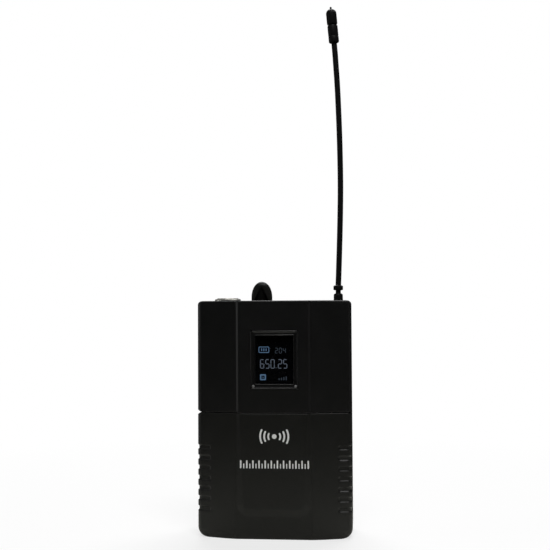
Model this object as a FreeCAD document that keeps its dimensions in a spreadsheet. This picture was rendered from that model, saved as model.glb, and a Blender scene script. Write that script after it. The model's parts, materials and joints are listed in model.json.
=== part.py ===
# Wireless bodypack transmitter: a clip-on case for two AA cells with a whip antenna.
# Origin: centre of the base. +Z up, the front with the display faces -Y. Millimetres.
import FreeCAD, Part
import math
import os
import re
import Sketcher

doc = FreeCAD.newDocument("bodypack")
sheet = doc.addObject("Spreadsheet::Sheet", "params")

# Driving dimensions and the sizes of each piece, in the order of the pieces below.
cells = {
    # case
    "bodyWidth": 62, "bodyHeight": 94.5, "backY": 12, "partingY": 2, "frontY": 11.2, "wingY": 8.2,
    "wall": 1.8, "bandHalf": 14.9, "bandRise": 0.8, "bandEdge": 0.6, "bandBottom": 9, "bandCorner": 5.5,
    "topCorner": 1.7, "bottomCorner": 4, "backRound": 1.5, "wingCorner": 2.2,
    "seamZ": 50, "seamGap": 0.3, "notchDeep": 1.6, "notchHalf": 0.9,
    "lipDrop": 2.5, "lipThick": 1, "lipGap": 0.3,
    "railInner": 27.4, "railOuter": 28.6, "railDeep": 2, "railTop": 46, "railGap": 0.3,
    "grooveCount": 7, "groovePitch": 4.06, "grooveWidth": 2, "grooveDeep": 0.6, "grooveLow": 11.5,
    "grooveReach": 5.6, "wingSlope": 0.2,
    "bossX": 25.4, "bossLowZ": 66, "bossHighZ": 78, "bossRadius": 2.7, "screwRadius": 1.25,
    "screwHead": 2.4, "screwSink": 1.2, "screwLong": 15,
    # display
    "screenX": 0.5, "screenZ": 71, "screenWide": 15.2, "screenHigh": 19.1, "bezelWide": 19, "bezelHigh": 23.1,
    "bezelGap": 0.1, "bezelThick": 1.7, "bezelSlope": 1.35, "windowThick": 1, "moduleThick": 2.2,
    "moduleWide": 22, "moduleHigh": 27, "boardThick": 1.2, "ribbonThick": 0.3, "ribbonWide": 9,
    "ribbonZ": 60.2,
    # top plate
    "plateHalf": 28.5, "plateFront": 6.5, "plateBack": 7, "plateThick": 2, "plateSunk": 0.2,
    "plateGap": 0.1,
    # microphone socket
    "socketX": -19.6, "barrelRadius": 4.4, "barrelBore": 3.7, "barrelLow": 83, "barrelProud": 1.1,
    "flangeRadius": 5.6, "flangeThick": 1.4, "insertThick": 2.5, "pinRadius": 0.5, "pinCircle": 2.1,
    "pinTop": 90.5, "pinTail": 2.5, "pinCount": 4, "nutRadius": 5.3, "nutThick": 1.0,
    # power lever
    "leverX": -5.5, "leverHalf": 4.25, "leverDeep": 4.6, "leverTop": 102.3, "leverShoulder": 97.8,
    "leverNarrow": 0.25, "leverRound": 1.6, "pivotZ": 88.6, "hubRadius": 2.3, "pivotRadius": 0.8,
    "pivotGap": 0.05, "housingHalf": 6.3, "housingDeep": 5, "housingLow": 80, "housingWall": 1.2,
    "slotHalfX": 4.7, "slotHalfY": 3.8, "terminalLong": 3, "terminalPitch": 3.6,
    # antenna
    "antennaX": 25.8, "bushRadius": 2, "bushLow": 87, "beadRadius": 1.87, "beadHigh": 3.1,
    "neckRadius": 1.05, "neckHigh": 1.25, "collarRadius": 1.95, "collarHigh": 1.95,
    "whipRadius": 1.15, "whipTip": 201.5, "sleeveRadius": 2.1, "sleeveLong": 7.2, "capRadius": 2.15,
    "capLong": 6.4, "capGap": 0.4, "nubRadius": 0.4, "nubLong": 0.95, "leadRadius": 0.6, "leadBend": 1.5,
    "leadDrop": 3,
    # boards
    "pcbHalf": 22, "pcbLow": 59.5, "pcbHigh": 90.5, "pcbY": 6, "pcbThick": 1.6,
    "canThick": 0.3, "canDeep": 2.2, "canLow": 64, "canHigh": 82, "canLeft": -4, "canRight": 18,
    # battery bay
    "cellRadius": 7.25, "cellLong": 49.2, "nubHigh": 1.3, "cellNub": 2.75, "cellX": 7.6, "cellY": 0.5,
    "bayLow": 3.4, "bayHigh": 57.3, "trayHalf": 15.4, "trayWall": 1.2, "trayBack": 8.1,
    "trayFloor": 1.4, "tabWide": 6.5, "tabLow": 8, "tabHigh": 18, "contactThick": 0.3,
    "springWire": 0.35, "springSmall": 2.4, "springBig": 4.6, "springTurns": 3,
    # keys
    "keyX": 21.6, "keyLowZ": 37, "keyHighZ": 44, "keyRadius": 2, "keyGap": 0.3, "keyFlange": 2.7,
    "panelLeft": 17, "panelRight": 26.8, "panelLow": 31.5, "panelHigh": 49, "panelY": 4.2,
    "panelThick": 1.2, "keyProud": 1.2, "flangeGap": 0.1, "keyBack": 0.7, "tactHalf": 2.4,
    "tactDeep": 1.5, "keyTravel": 0.4,
    # belt clip
    "hingeY": 15.6, "hingeZ": 78, "earRadius": 2.3, "earInner": 7.8, "earThick": 2, "pinHalf": 1,
    "hubGap": 0.05, "hubInner": 3.5, "hubOuter": 7.5, "clipHalf": 10, "clipThick": 2, "clipGap": 2.6,
    "clipTop": 89, "clipKnee": 34, "clipToe": 28.5, "clipEnd": 24.5, "toeGap": 0.7, "endGap": 3,
    "bracketHalf": 12, "bracketLow": 66, "bracketHigh": 88, "bracketThick": 1.2,
    "coilRadius": 1.7, "coilWire": 0.25, "coilTurns": 8,
    "bracketScrewLow": 69.5, "bracketScrewHigh": 85,
}
for row, (alias, value) in enumerate(cells.items(), 1):
    sheet.set(f"A{row}", alias)
    sheet.set(f"B{row}", str(value))
    sheet.setAlias(f"B{row}", alias)
doc.recompute()


def sheetRef(expression):
    """The expression with each alias written as a cell of the sheet."""
    return re.sub(r"[A-Za-z]\w*", lambda word: "params." + word.group(0), str(expression))


def val(expression):
    """The number an expression on the sheet's aliases comes to."""
    result = sheet.evalExpression(sheetRef(expression))
    return float(getattr(result, "Value", result))


def bind(obj, prop, expression):
    obj.setExpression(prop, sheetRef(expression))


pieces = []


def keep(obj, label):
    """Register obj as the sub-part that is written as parts/label.step."""
    obj.Label = label
    pieces.append(obj)
    return obj


# XY sketches face +Z, XZ sketches face -Y and YZ sketches face +X.
def newBody(label):
    return keep(doc.addObject("PartDesign::Body", label), label)


def newSketch(body, plane, offset="0"):
    """A sketch on one of the body's origin planes, moved by offset along the plane's normal."""
    sketch = body.newObject("Sketcher::SketchObject", body.Name + "_sketch")
    role = plane + "_Plane"
    sketch.AttachmentSupport = [(f, "") for f in body.Origin.OriginFeatures if f.Role == role]
    sketch.MapMode = "FlatFace"
    bind(sketch, ".AttachmentOffset.Base.z", offset)
    return sketch


def pinPoint(sketch, item, end, x, y):
    """Dimension a point of the sketch from its origin with two bound constraints."""
    for kind, axis, expression in (("DistanceX", -2, x), ("DistanceY", -1, y)):
        value = val(expression)
        if abs(value) < 1e-9:
            sketch.addConstraint(Sketcher.Constraint("PointOnObject", item, end, axis))
        else:
            number = sketch.addConstraint(Sketcher.Constraint(kind, -1, 1, item, end, value))
            bind(sketch, f"Constraints[{number}]", expression)


def outline(sketch, points):
    """A closed outline through the points: x, y and, where a corner is round, its radius."""
    spots = [FreeCAD.Vector(val(point[0]), val(point[1]), 0) for point in points]
    count = len(points)
    cuts = []
    for i, point in enumerate(points):
        if len(point) == 2:
            cuts.append((spots[i], spots[i]))
            continue
        back = (spots[i - 1] - spots[i]).normalize()
        ahead = (spots[(i + 1) % count] - spots[i]).normalize()
        reach = val(point[2]) / math.tan(back.getAngle(ahead) / 2)
        cuts.append((spots[i] + back * reach, spots[i] + ahead * reach))
    first = sketch.GeometryCount
    for i in range(count):
        sketch.addGeometry(Part.LineSegment(cuts[i][1], cuts[(i + 1) % count][0]))
    for i, point in enumerate(points):
        before, after = first + (i - 1) % count, first + i
        if len(point) == 2:
            sketch.addConstraint(Sketcher.Constraint("Coincident", before, 2, after, 1))
            pinPoint(sketch, after, 1, *point)
            continue
        back, ahead = cuts[i][0] - spots[i], cuts[i][1] - spots[i]
        towards = (back + ahead).normalize()
        half = back.getAngle(ahead) / 2
        radius = val(point[2])
        middle = spots[i] + towards * (radius / math.sin(half) - radius)
        arc = sketch.addGeometry(Part.Arc(cuts[i][0], middle, cuts[i][1]))
        starts = (sketch.Geometry[arc].StartPoint - cuts[i][0]).Length < 1e-4
        corner = sketch.addGeometry(Part.Point(spots[i]), True)
        pinPoint(sketch, corner, 1, point[0], point[1])
        sketch.addConstraint(Sketcher.Constraint("PointOnObject", corner, 1, before))
        sketch.addConstraint(Sketcher.Constraint("PointOnObject", corner, 1, after))
        sketch.addConstraint(Sketcher.Constraint("Tangent", before, 2, arc, 1 if starts else 2))
        sketch.addConstraint(Sketcher.Constraint("Tangent", after, 1, arc, 2 if starts else 1))
        number = sketch.addConstraint(Sketcher.Constraint("Radius", arc, radius))
        bind(sketch, f"Constraints[{number}]", point[2])


def rectangle(sketch, x0, x1, y0, y1):
    outline(sketch, [(x0, y0), (x1, y0), (x1, y1), (x0, y1)])


def disc(sketch, x, y, radius):
    centre = FreeCAD.Vector(val(x), val(y), 0)
    item = sketch.addGeometry(Part.Circle(centre, FreeCAD.Vector(0, 0, 1), val(radius)))
    pinPoint(sketch, item, 3, x, y)
    number = sketch.addConstraint(Sketcher.Constraint("Radius", item, val(radius)))
    bind(sketch, f"Constraints[{number}]", radius)


def feature(body, kind, sketch, length, back=False, both=False):
    """A Pad or Pocket of the sketch; stops if it doesn't add to or cut the body."""
    doc.recompute()
    before = 0 if body.Tip is None else body.Tip.Shape.Volume
    made = body.newObject("PartDesign::" + kind, body.Name + "_" + kind.lower())
    made.Profile = sketch
    bind(made, "Length", length)
    made.Reversed = back
    if both:
        made.SideType = "Symmetric"
    doc.recompute()
    change = made.Shape.Volume - before
    if (change <= 0) if kind == "Pad" else (change >= 0):
        raise RuntimeError(f"{made.Name} changed nothing")
    return made


def pad(body, sketch, length, **options):
    return feature(body, "Pad", sketch, length, **options)


def pocket(body, sketch, length, **options):
    return feature(body, "Pocket", sketch, length, **options)


def straightEdges(shape, direction, test):
    """Names of the straight edges along a direction whose middle passes the test."""
    names = []
    for number, edge in enumerate(shape.Edges, 1):
        if edge.Curve.TypeId != "Part::GeomLine":
            continue
        middle = edge.CenterOfMass
        along = abs(edge.Curve.Direction.dot(FreeCAD.Vector(*direction)))
        if along > 0.999 and test(middle.x, middle.y, middle.z):
            names.append(f"Edge{number}")
    return names


def dress(body, kind, size, names):
    """A Fillet or Chamfer of the named edges of the body's last feature."""
    if not names:
        raise RuntimeError(f"{body.Name}: no edge for {kind}")
    base = body.Tip
    made = body.newObject("PartDesign::" + kind, body.Name + "_" + kind.lower())
    made.Base = (base, names)
    bind(made, "Radius" if kind == "Fillet" else "Size", size)
    doc.recompute()
    return made


def near(value, expression):
    return abs(value - val(expression)) < 0.02


# Boxes, cylinders, and their cuts and unions.
def place(obj, x, y, z):
    for axis, expression in (("x", x), ("y", y), ("z", z)):
        bind(obj, f".Placement.Base.{axis}", expression)


def box(name, x0, x1, y0, y1, z0, z1):
    made = doc.addObject("Part::Box", name)
    for side, low, high in (("Length", x0, x1), ("Width", y0, y1), ("Height", z0, z1)):
        bind(made, side, f"({high}) - ({low})")
    place(made, x0, y0, z0)
    return made


turns = {
    "Z": FreeCAD.Rotation(),
    "X": FreeCAD.Rotation(FreeCAD.Vector(0, 1, 0), 90),
    "Y": FreeCAD.Rotation(FreeCAD.Vector(1, 0, 0), -90),
}


def rod(name, axis, radius, length, x, y, z):
    """A cylinder from (x, y, z) along +X, +Y or +Z."""
    made = doc.addObject("Part::Cylinder", name)
    bind(made, "Radius", radius)
    bind(made, "Height", length)
    made.Placement = FreeCAD.Placement(FreeCAD.Vector(), turns[axis])
    place(made, x, y, z)
    return made


def fuse(name, *parts):
    made = doc.addObject("Part::MultiFuse", name)
    made.Shapes = list(parts)
    return made


def cut(name, base, *tools):
    made = doc.addObject("Part::Cut", name)
    made.Base = base
    made.Tool = tools[0] if len(tools) == 1 else fuse(name + "_tools", *tools)
    return made


def group(name, parts):
    """Separate solids of one kind in one sub-part."""
    made = doc.addObject("Part::Compound", name)
    made.Links = list(parts)
    return made


def coded(label, shape):
    """A sub-part whose shape is worked out in code from the sheet's values."""
    made = doc.addObject("Part::Feature", label)
    made.Shape = shape
    made.Placement = shape.Placement
    return keep(made, label)


def tube(points, radius, bend=None):
    """A round bar through the points: straight runs joined by tangent arcs.

    Each arc's radius is bend, or as large as 0.45 of the shorter of its two runs allows.
    """
    edges = []
    start = points[0]
    for before, corner, after in zip(points, points[1:], points[2:]):
        into = (corner - before).normalize()
        out = (after - corner).normalize()
        half = into.getAngle(out) / 2
        reach = 0.45 * min((corner - before).Length, (after - corner).Length)
        if bend is not None:
            reach = bend * math.tan(half)
        inner = (out - into).normalize()
        arcRadius = reach / math.tan(half)
        middle = corner + inner * (arcRadius / math.cos(half) - arcRadius)
        begin = corner - into * reach
        finish = corner + out * reach
        edges.append(Part.LineSegment(start, begin).toShape())
        edges.append(Part.Arc(begin, middle, finish).toShape())
        start = finish
    edges.append(Part.LineSegment(start, points[-1]).toShape())
    path = Part.Wire(edges)
    section = Part.Wire(Part.Circle(points[0], points[1] - points[0], radius).toShape())
    bar = path.makePipeShell([section], True, False)
    expected = math.pi * radius ** 2 * path.Length
    if abs(bar.Volume / expected - 1) > 0.02:
        raise RuntimeError("a swept bar has the wrong volume")
    return bar


def coil(radius, farRadius, wire, turnCount, length, origin, axis):
    """A round-wire spring from origin along axis, cylindrical or widening to farRadius."""
    slope = math.degrees(math.atan2(farRadius - radius, length))
    helix = Part.makeHelix(length / turnCount, length, radius, slope)
    start = FreeCAD.Vector(radius, 0, 0)
    section = Part.Wire(Part.Circle(start, FreeCAD.Vector(0, 1, 0), wire).toShape())
    spring = Part.Wire(helix.Edges).makePipeShell([section], True, True)
    spring.Placement = FreeCAD.Placement(origin, FreeCAD.Rotation(FreeCAD.Vector(0, 0, 1), axis))
    return spring


halfWidth = "bodyWidth / 2"


def trimCorners(body, bottomRadius, topRadius, low, high):
    """Round the case's corners as seen from the front, where a radius is given."""
    sketch = newSketch(body, "XZ", "-backY - 1")
    rectangle(sketch, f"-{halfWidth} - 1", f"{halfWidth} + 1", f"{low} - 2", f"{high} + 2")
    bottom = (low, bottomRadius) if bottomRadius else (f"{low} - 1",)
    top = (high, topRadius) if topRadius else (f"{high} + 1",)
    outline(sketch, [(f"-{halfWidth}", *bottom), (halfWidth, *bottom),
                     (halfWidth, *top), (f"-{halfWidth}", *top)])
    pocket(body, sketch, "backY + frontY + bandRise + 2", back=True)


def caseFront(label, low, high, bandLow, bottomRadius, topRadius):
    """One part of the front: slanted wings, rounded sides and the raised band."""
    body = newBody(label)
    shape = newSketch(body, "XY", low)
    outline(shape, [(f"-{halfWidth}", "partingY"), (f"-{halfWidth}", "-wingY", "wingCorner"),
                    ("-bandHalf - bandEdge", "-frontY"), ("bandHalf + bandEdge", "-frontY"),
                    (halfWidth, "-wingY", "wingCorner"), (halfWidth, "partingY")])
    pad(body, shape, f"({high}) - ({low})")
    trimCorners(body, bottomRadius, topRadius, low, high)
    band = newSketch(body, "XZ", "frontY")
    foot = (bandLow, "bandCorner") if bandLow != low else (bandLow,)
    outline(band, [("-bandHalf", *foot), ("bandHalf", *foot), ("bandHalf", high), ("-bandHalf", high)])
    pad(body, band, "bandRise")
    slopeBand(body, bandLow != low)
    return body


def slopeBand(body, closedFoot):
    """Slope the band's side edges, and its foot where it ends on the cover."""
    front = "-frontY - bandRise"
    names = []
    for number, edge in enumerate(body.Tip.Shape.Edges, 1):
        reach = edge.BoundBox
        onFront = near(reach.YMin, front) and near(reach.YMax, front)
        side = reach.ZLength > 1 and near(max(abs(reach.XMin), abs(reach.XMax)), "bandHalf")
        foot = closedFoot and near(reach.ZMin, "bandBottom")
        if onFront and (side or foot):
            names.append(f"Edge{number}")
    dress(body, "Chamfer", "bandEdge", names)


def hollow(body, low, high):
    """Clear the space behind the front and side walls, open towards the back."""
    inner = newSketch(body, "XY", high)
    outline(inner, [(f"-{halfWidth} + wall", "partingY + 1"), (f"-{halfWidth} + wall", "-wingY + wall"),
                    ("-bandHalf", "-frontY + wall"), ("bandHalf", "-frontY + wall"),
                    (f"{halfWidth} - wall", "-wingY + wall"), (f"{halfWidth} - wall", "partingY + 1")])
    pocket(body, inner, f"({high}) - ({low})")


def sideNotches(body):
    """A V notch in each side where the two halves meet."""
    notch = newSketch(body, "XZ", "-partingY")
    for side in ("", "-"):
        outline(notch, [(f"{side}({halfWidth} + 1)", "seamZ + notchHalf"),
                        (f"{side}({halfWidth} - notchDeep)", "seamZ - seamGap / 2"),
                        (f"{side}({halfWidth} + 1)", "seamZ - seamGap - notchHalf")])
    pocket(body, notch, "bodyWidth", both=True)


def frontShell():
    body = caseFront("front_shell", "seamZ", "bodyHeight", "seamZ", None, "topCorner")
    hollow(body, "seamZ", "bodyHeight - wall")
    window = newSketch(body, "XZ", "frontY + bandRise + 1")
    rectangle(window, "screenX - bezelWide / 2 - bezelGap", "screenX + bezelWide / 2 + bezelGap",
              "screenZ - bezelHigh / 2 - bezelGap", "screenZ + bezelHigh / 2 + bezelGap")
    pocket(body, window, "wall + bandRise + 2")
    mouth = newSketch(body, "XY", "bodyHeight")
    rectangle(mouth, "-plateHalf - plateGap", "plateHalf + plateGap",
              "-plateFront - plateGap", "partingY + 1")
    pocket(body, mouth, "wall + 1")
    sideNotches(body)
    lip = newSketch(body, "YZ")
    outline(lip, [("-frontY + wall - 0.2", "seamZ + 2"), ("-frontY + wall - 0.2", "seamZ + 0.2"),
                  ("-frontY + wall + lipGap", "seamZ"), ("-frontY + wall + lipGap", "seamZ - lipDrop"),
                  ("-frontY + wall + lipGap + lipThick", "seamZ - lipDrop"),
                  ("-frontY + wall + lipGap + lipThick", "seamZ + 2")])
    pad(body, lip, "2 * bandHalf - 4", both=True)
    bosses = newSketch(body, "XZ", "-partingY")
    for side in ("", "-"):
        for level in ("bossLowZ", "bossHighZ"):
            disc(bosses, f"{side}bossX", level, "bossRadius")
    pad(body, bosses, "partingY + wingY - wall + 0.6")
    pilots = newSketch(body, "XZ", "-partingY")
    for side in ("", "-"):
        for level in ("bossLowZ", "bossHighZ"):
            disc(pilots, f"{side}bossX", level, "screwRadius")
    pocket(body, pilots, "screwLong - backY + partingY", back=True)


def grooveColumn(body, side):
    """Grip grooves up one side, each from the parting face round onto the wing."""
    groove = newSketch(body, "XY", "grooveLow")
    across = f"{side}({halfWidth}"
    outline(groove, [(f"{across} - grooveDeep)", "partingY + 1"),
                     (f"{across} - grooveDeep)", "-wingY + grooveDeep", "wingCorner"),
                     (f"{across} - grooveReach)", "-wingY - grooveReach * wingSlope + grooveDeep"),
                     (f"{across} - grooveReach)", "-frontY"),
                     (f"{across} + 1)", "-frontY"), (f"{across} + 1)", "partingY + 1")])
    first = pocket(body, groove, "grooveWidth", both=True)
    column = body.newObject("PartDesign::LinearPattern", "battery_cover_column")
    column.Originals = [first]
    column.Direction = (groove, ["N_Axis"])
    bind(column, "Length", "groovePitch * (grooveCount - 1)")
    bind(column, "Occurrences", "grooveCount")
    body.Tip = column
    doc.recompute()
    if column.Shape.Volume > first.Shape.Volume - 5:
        raise RuntimeError("the groove column cut nothing")


def batteryCover():
    body = caseFront("battery_cover", "0", "seamZ - seamGap", "bandBottom", "bottomCorner", None)
    hollow(body, "wall", "seamZ - seamGap")
    sideNotches(body)
    for side in ("", "-"):
        grooveColumn(body, side)
    rails = newSketch(body, "XY", "wall / 2")
    for side in ("", "-"):
        root = f"{side}({halfWidth} - wall + 0.5)"
        outline(rails, [(f"{side}railInner", "-wingY + wall"), (root, "-wingY + wall"),
                        (root, "partingY"), (f"{side}railOuter", "partingY"),
                        (f"{side}railOuter", "partingY + railDeep"),
                        (f"{side}railInner", "partingY + railDeep")])
    pad(body, rails, "railTop")


def rearShell():
    body = newBody("rear_shell")
    shape = newSketch(body, "XY")
    rectangle(shape, f"-{halfWidth}", halfWidth, "partingY", "backY")
    pad(body, shape, "bodyHeight")
    trimCorners(body, "bottomCorner", "topCorner", "0", "bodyHeight")
    dress(body, "Fillet", "backRound", [
        f"Edge{number}" for number, edge in enumerate(body.Tip.Shape.Edges, 1)
        if near(edge.BoundBox.YMin, "backY") and near(edge.BoundBox.YMax, "backY")])
    inner = newSketch(body, "XZ", "-partingY")
    rectangle(inner, f"-{halfWidth} + wall", f"{halfWidth} - wall", "wall", "bodyHeight - wall")
    pocket(body, inner, "backY - partingY - wall")
    mouth = newSketch(body, "XY", "bodyHeight")
    rectangle(mouth, "-plateHalf - plateGap", "plateHalf + plateGap",
              "partingY - 1", "plateBack + plateGap")
    pocket(body, mouth, "wall + 1")
    slots = newSketch(body, "XY", "wall + 3")
    for side in ("", "-"):
        outline(slots, [(f"{side}(railInner - railGap)", "partingY - 1"),
                        (f"{side}(railOuter + railGap)", "partingY - 1"),
                        (f"{side}(railOuter + railGap)", "partingY + railDeep + railGap"),
                        (f"{side}(railInner - railGap)", "partingY + railDeep + railGap")])
    pocket(body, slots, "wall + 4")
    posts = newSketch(body, "XZ", "-backY + wall")
    holes = newSketch(body, "XZ", "-backY - 1")
    heads = newSketch(body, "XZ", "-backY - 1")
    for side in ("", "-"):
        for level in ("bossLowZ", "bossHighZ"):
            disc(posts, f"{side}bossX", level, "bossRadius")
            disc(holes, f"{side}bossX", level, "screwRadius")
            disc(heads, f"{side}bossX", level, "screwHead")
    pad(body, posts, "backY - partingY - wall")
    pocket(body, holes, "backY + 2", back=True)
    pocket(body, heads, "screwSink + 1", back=True)


frontShell()
batteryCover()
rearShell()


def topPlate():
    body = newBody("top_plate")
    shape = newSketch(body, "XY", "bodyHeight - plateSunk - plateThick")
    rectangle(shape, "-plateHalf", "plateHalf", "-plateFront", "plateBack")
    pad(body, shape, "plateThick")
    holes = newSketch(body, "XY", "bodyHeight")
    disc(holes, "socketX", "0", "barrelRadius")
    disc(holes, "antennaX", "0", "bushRadius")
    rectangle(holes, "leverX - slotHalfX", "leverX + slotHalfX", "-slotHalfY", "slotHalfY")
    pocket(body, holes, "plateThick + 1")


def display():
    """The sloped frame, the clear pane, the module, its board and the ribbon to the main board."""
    frame = newBody("display_bezel")
    shape = newSketch(frame, "XZ", "frontY + bandRise - bezelThick + 0.1")
    rectangle(shape, "screenX - bezelWide / 2", "screenX + bezelWide / 2",
              "screenZ - bezelHigh / 2", "screenZ + bezelHigh / 2")
    pad(frame, shape, "bezelThick")
    opening = newSketch(frame, "XZ", "frontY + bandRise + 1")
    rectangle(opening, "screenX - screenWide / 2", "screenX + screenWide / 2",
              "screenZ - screenHigh / 2", "screenZ + screenHigh / 2")
    pocket(frame, opening, "bezelThick + 2")
    front = "-frontY - bandRise - 0.1"
    dress(frame, "Chamfer", "bezelSlope", [
        f"Edge{number}" for number, edge in enumerate(frame.Tip.Shape.Edges, 1)
        if near(edge.BoundBox.YMin, front) and near(edge.BoundBox.YMax, front)
        and abs(edge.CenterOfMass.x - val("screenX")) < val("screenWide / 2 + 0.1")
        and abs(edge.CenterOfMass.z - val("screenZ")) < val("screenHigh / 2 + 0.1")])
    paneY = "-frontY - bandRise + bezelThick - 0.1"
    moduleY = f"{paneY} + windowThick"
    boardY = f"{moduleY} + moduleThick"
    layers = (("display_window", "screenWide / 2 + 1", "screenHigh / 2 + 1", paneY, moduleY),
              ("display_module", "moduleWide / 2", "moduleHigh / 2", moduleY, boardY),
              ("display_board", "moduleWide / 2 + 1", "moduleHigh / 2 - 1", boardY, f"{boardY} + boardThick"),
              ("display_ribbon", "ribbonWide / 2", None, f"{boardY} + boardThick", "pcbY"))
    for name, halfX, halfZ, front, back in layers:
        low, high = ("ribbonZ", "ribbonZ + ribbonThick") if halfZ is None else (
            f"screenZ - ({halfZ})", f"screenZ + {halfZ}")
        keep(box(name, f"screenX - ({halfX})", f"screenX + {halfX}", front, back, low, high), name)


topPlate()
display()

plateTop = "bodyHeight - plateSunk"
plateUnder = "bodyHeight - plateSunk - plateThick"


def micSocket():
    barrel = fuse("barrel_solid",
                  rod("barrel_tube", "Z", "barrelRadius", "bodyHeight + barrelProud - barrelLow",
                      "socketX", "0", "barrelLow"),
                  rod("barrel_flange", "Z", "flangeRadius", "flangeThick",
                      "socketX", "0", f"{plateUnder} - flangeThick"))
    bore = rod("barrel_bore", "Z", "barrelBore", "bodyHeight", "socketX", "0", "barrelLow - 1")
    keep(cut("mic_socket_barrel", barrel, bore), "mic_socket_barrel")
    pinSpots = []
    for number in range(cells["pinCount"]):
        angle = math.radians(45 + 360 / cells["pinCount"] * number)
        pinSpots.append((f"socketX + pinCircle * {math.cos(angle):.4f}",
                         f"pinCircle * {math.sin(angle):.4f}"))
    holes = [rod("insert_hole", "Z", "pinRadius", "insertThick + 2", x, y, "barrelLow - 1")
             for x, y in pinSpots]
    disk = rod("insert_disk", "Z", "barrelBore", "insertThick", "socketX", "0", "barrelLow")
    keep(cut("mic_socket_insert", disk, *holes), "mic_socket_insert")
    pins = [rod("pin", "Z", "pinRadius", "pinTop - barrelLow + pinTail", x, y, "barrelLow - pinTail")
            for x, y in pinSpots]
    keep(group("mic_socket_pins", pins), "mic_socket_pins")
    ring = rod("nut_ring", "Z", "nutRadius", "nutThick", "socketX", "0", plateTop)
    ringBore = rod("nut_bore", "Z", "barrelRadius", "nutThick + 2", "socketX", "0", f"{plateTop} - 1")
    keep(cut("mic_socket_nut", ring, ringBore), "mic_socket_nut")


def powerSwitch():
    housing = box("housing_block", "leverX - housingHalf", "leverX + housingHalf", "-housingDeep",
                  "housingDeep", "housingLow", plateUnder)
    well = box("housing_well", "leverX - slotHalfX", "leverX + slotHalfX", "-housingDeep + housingWall",
               "housingDeep - housingWall", "housingLow + housingWall", "bodyHeight")
    pinHole = rod("housing_pin_hole", "X", "pivotRadius", "2 * housingHalf + 2",
                  "leverX - housingHalf - 1", "0", "pivotZ")
    keep(cut("switch_housing", housing, well, pinHole), "switch_housing")
    keep(rod("switch_pivot", "X", "pivotRadius", "2 * housingHalf", "leverX - housingHalf", "0", "pivotZ"),
         "switch_pivot")
    legs = [box("terminal", f"leverX + terminalPitch * {n} - 0.5", f"leverX + terminalPitch * {n} + 0.5",
                "-0.2", "0.2", "housingLow - terminalLong", "housingLow") for n in (-1, 0, 1)]
    keep(group("switch_terminals", legs), "switch_terminals")

    body = newBody("switch_lever")
    shape = newSketch(body, "XZ")
    left, right = val("leverX - leverHalf"), val("leverX + leverHalf")
    narrow = val("leverNarrow")
    low = FreeCAD.Vector(left, val("pivotZ"), 0)
    lowRight = FreeCAD.Vector(right, low.y, 0)
    high = FreeCAD.Vector(left + narrow, val("leverShoulder"), 0)
    highRight = FreeCAD.Vector(right - narrow, high.y, 0)
    crown = FreeCAD.Vector(val("leverX"), val("leverTop"), 0)
    shape.addGeometry(Part.LineSegment(low, lowRight))
    shape.addGeometry(Part.LineSegment(lowRight, highRight))
    shape.addGeometry(Part.Arc(highRight, crown, high))
    shape.addGeometry(Part.LineSegment(high, low))
    for item, end, after, start in ((0, 2, 1, 1), (1, 2, 2, 1), (2, 2, 3, 1), (3, 2, 0, 1)):
        shape.addConstraint(Sketcher.Constraint("Coincident", item, end, after, start))
    pinPoint(shape, 0, 1, "leverX - leverHalf", "pivotZ")
    pinPoint(shape, 0, 2, "leverX + leverHalf", "pivotZ")
    pinPoint(shape, 1, 2, "leverX + leverHalf - leverNarrow", "leverShoulder")
    pinPoint(shape, 3, 1, "leverX - leverHalf + leverNarrow", "leverShoulder")
    pad(body, shape, "leverDeep", both=True)
    dress(body, "Fillet", "leverRound", [
        f"Edge{number}" for number, edge in enumerate(body.Tip.Shape.Edges, 1)
        if edge.BoundBox.YLength < 0.01 and edge.BoundBox.ZMax > val("pivotZ + 1")])
    hub = newSketch(body, "YZ", "leverX")
    disc(hub, "0", "pivotZ", "hubRadius")
    pad(body, hub, "2 * leverHalf", both=True)
    eye = newSketch(body, "YZ", "leverX")
    disc(eye, "0", "pivotZ", "pivotRadius + pivotGap")
    pocket(body, eye, "2 * leverHalf + 2", both=True)


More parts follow.
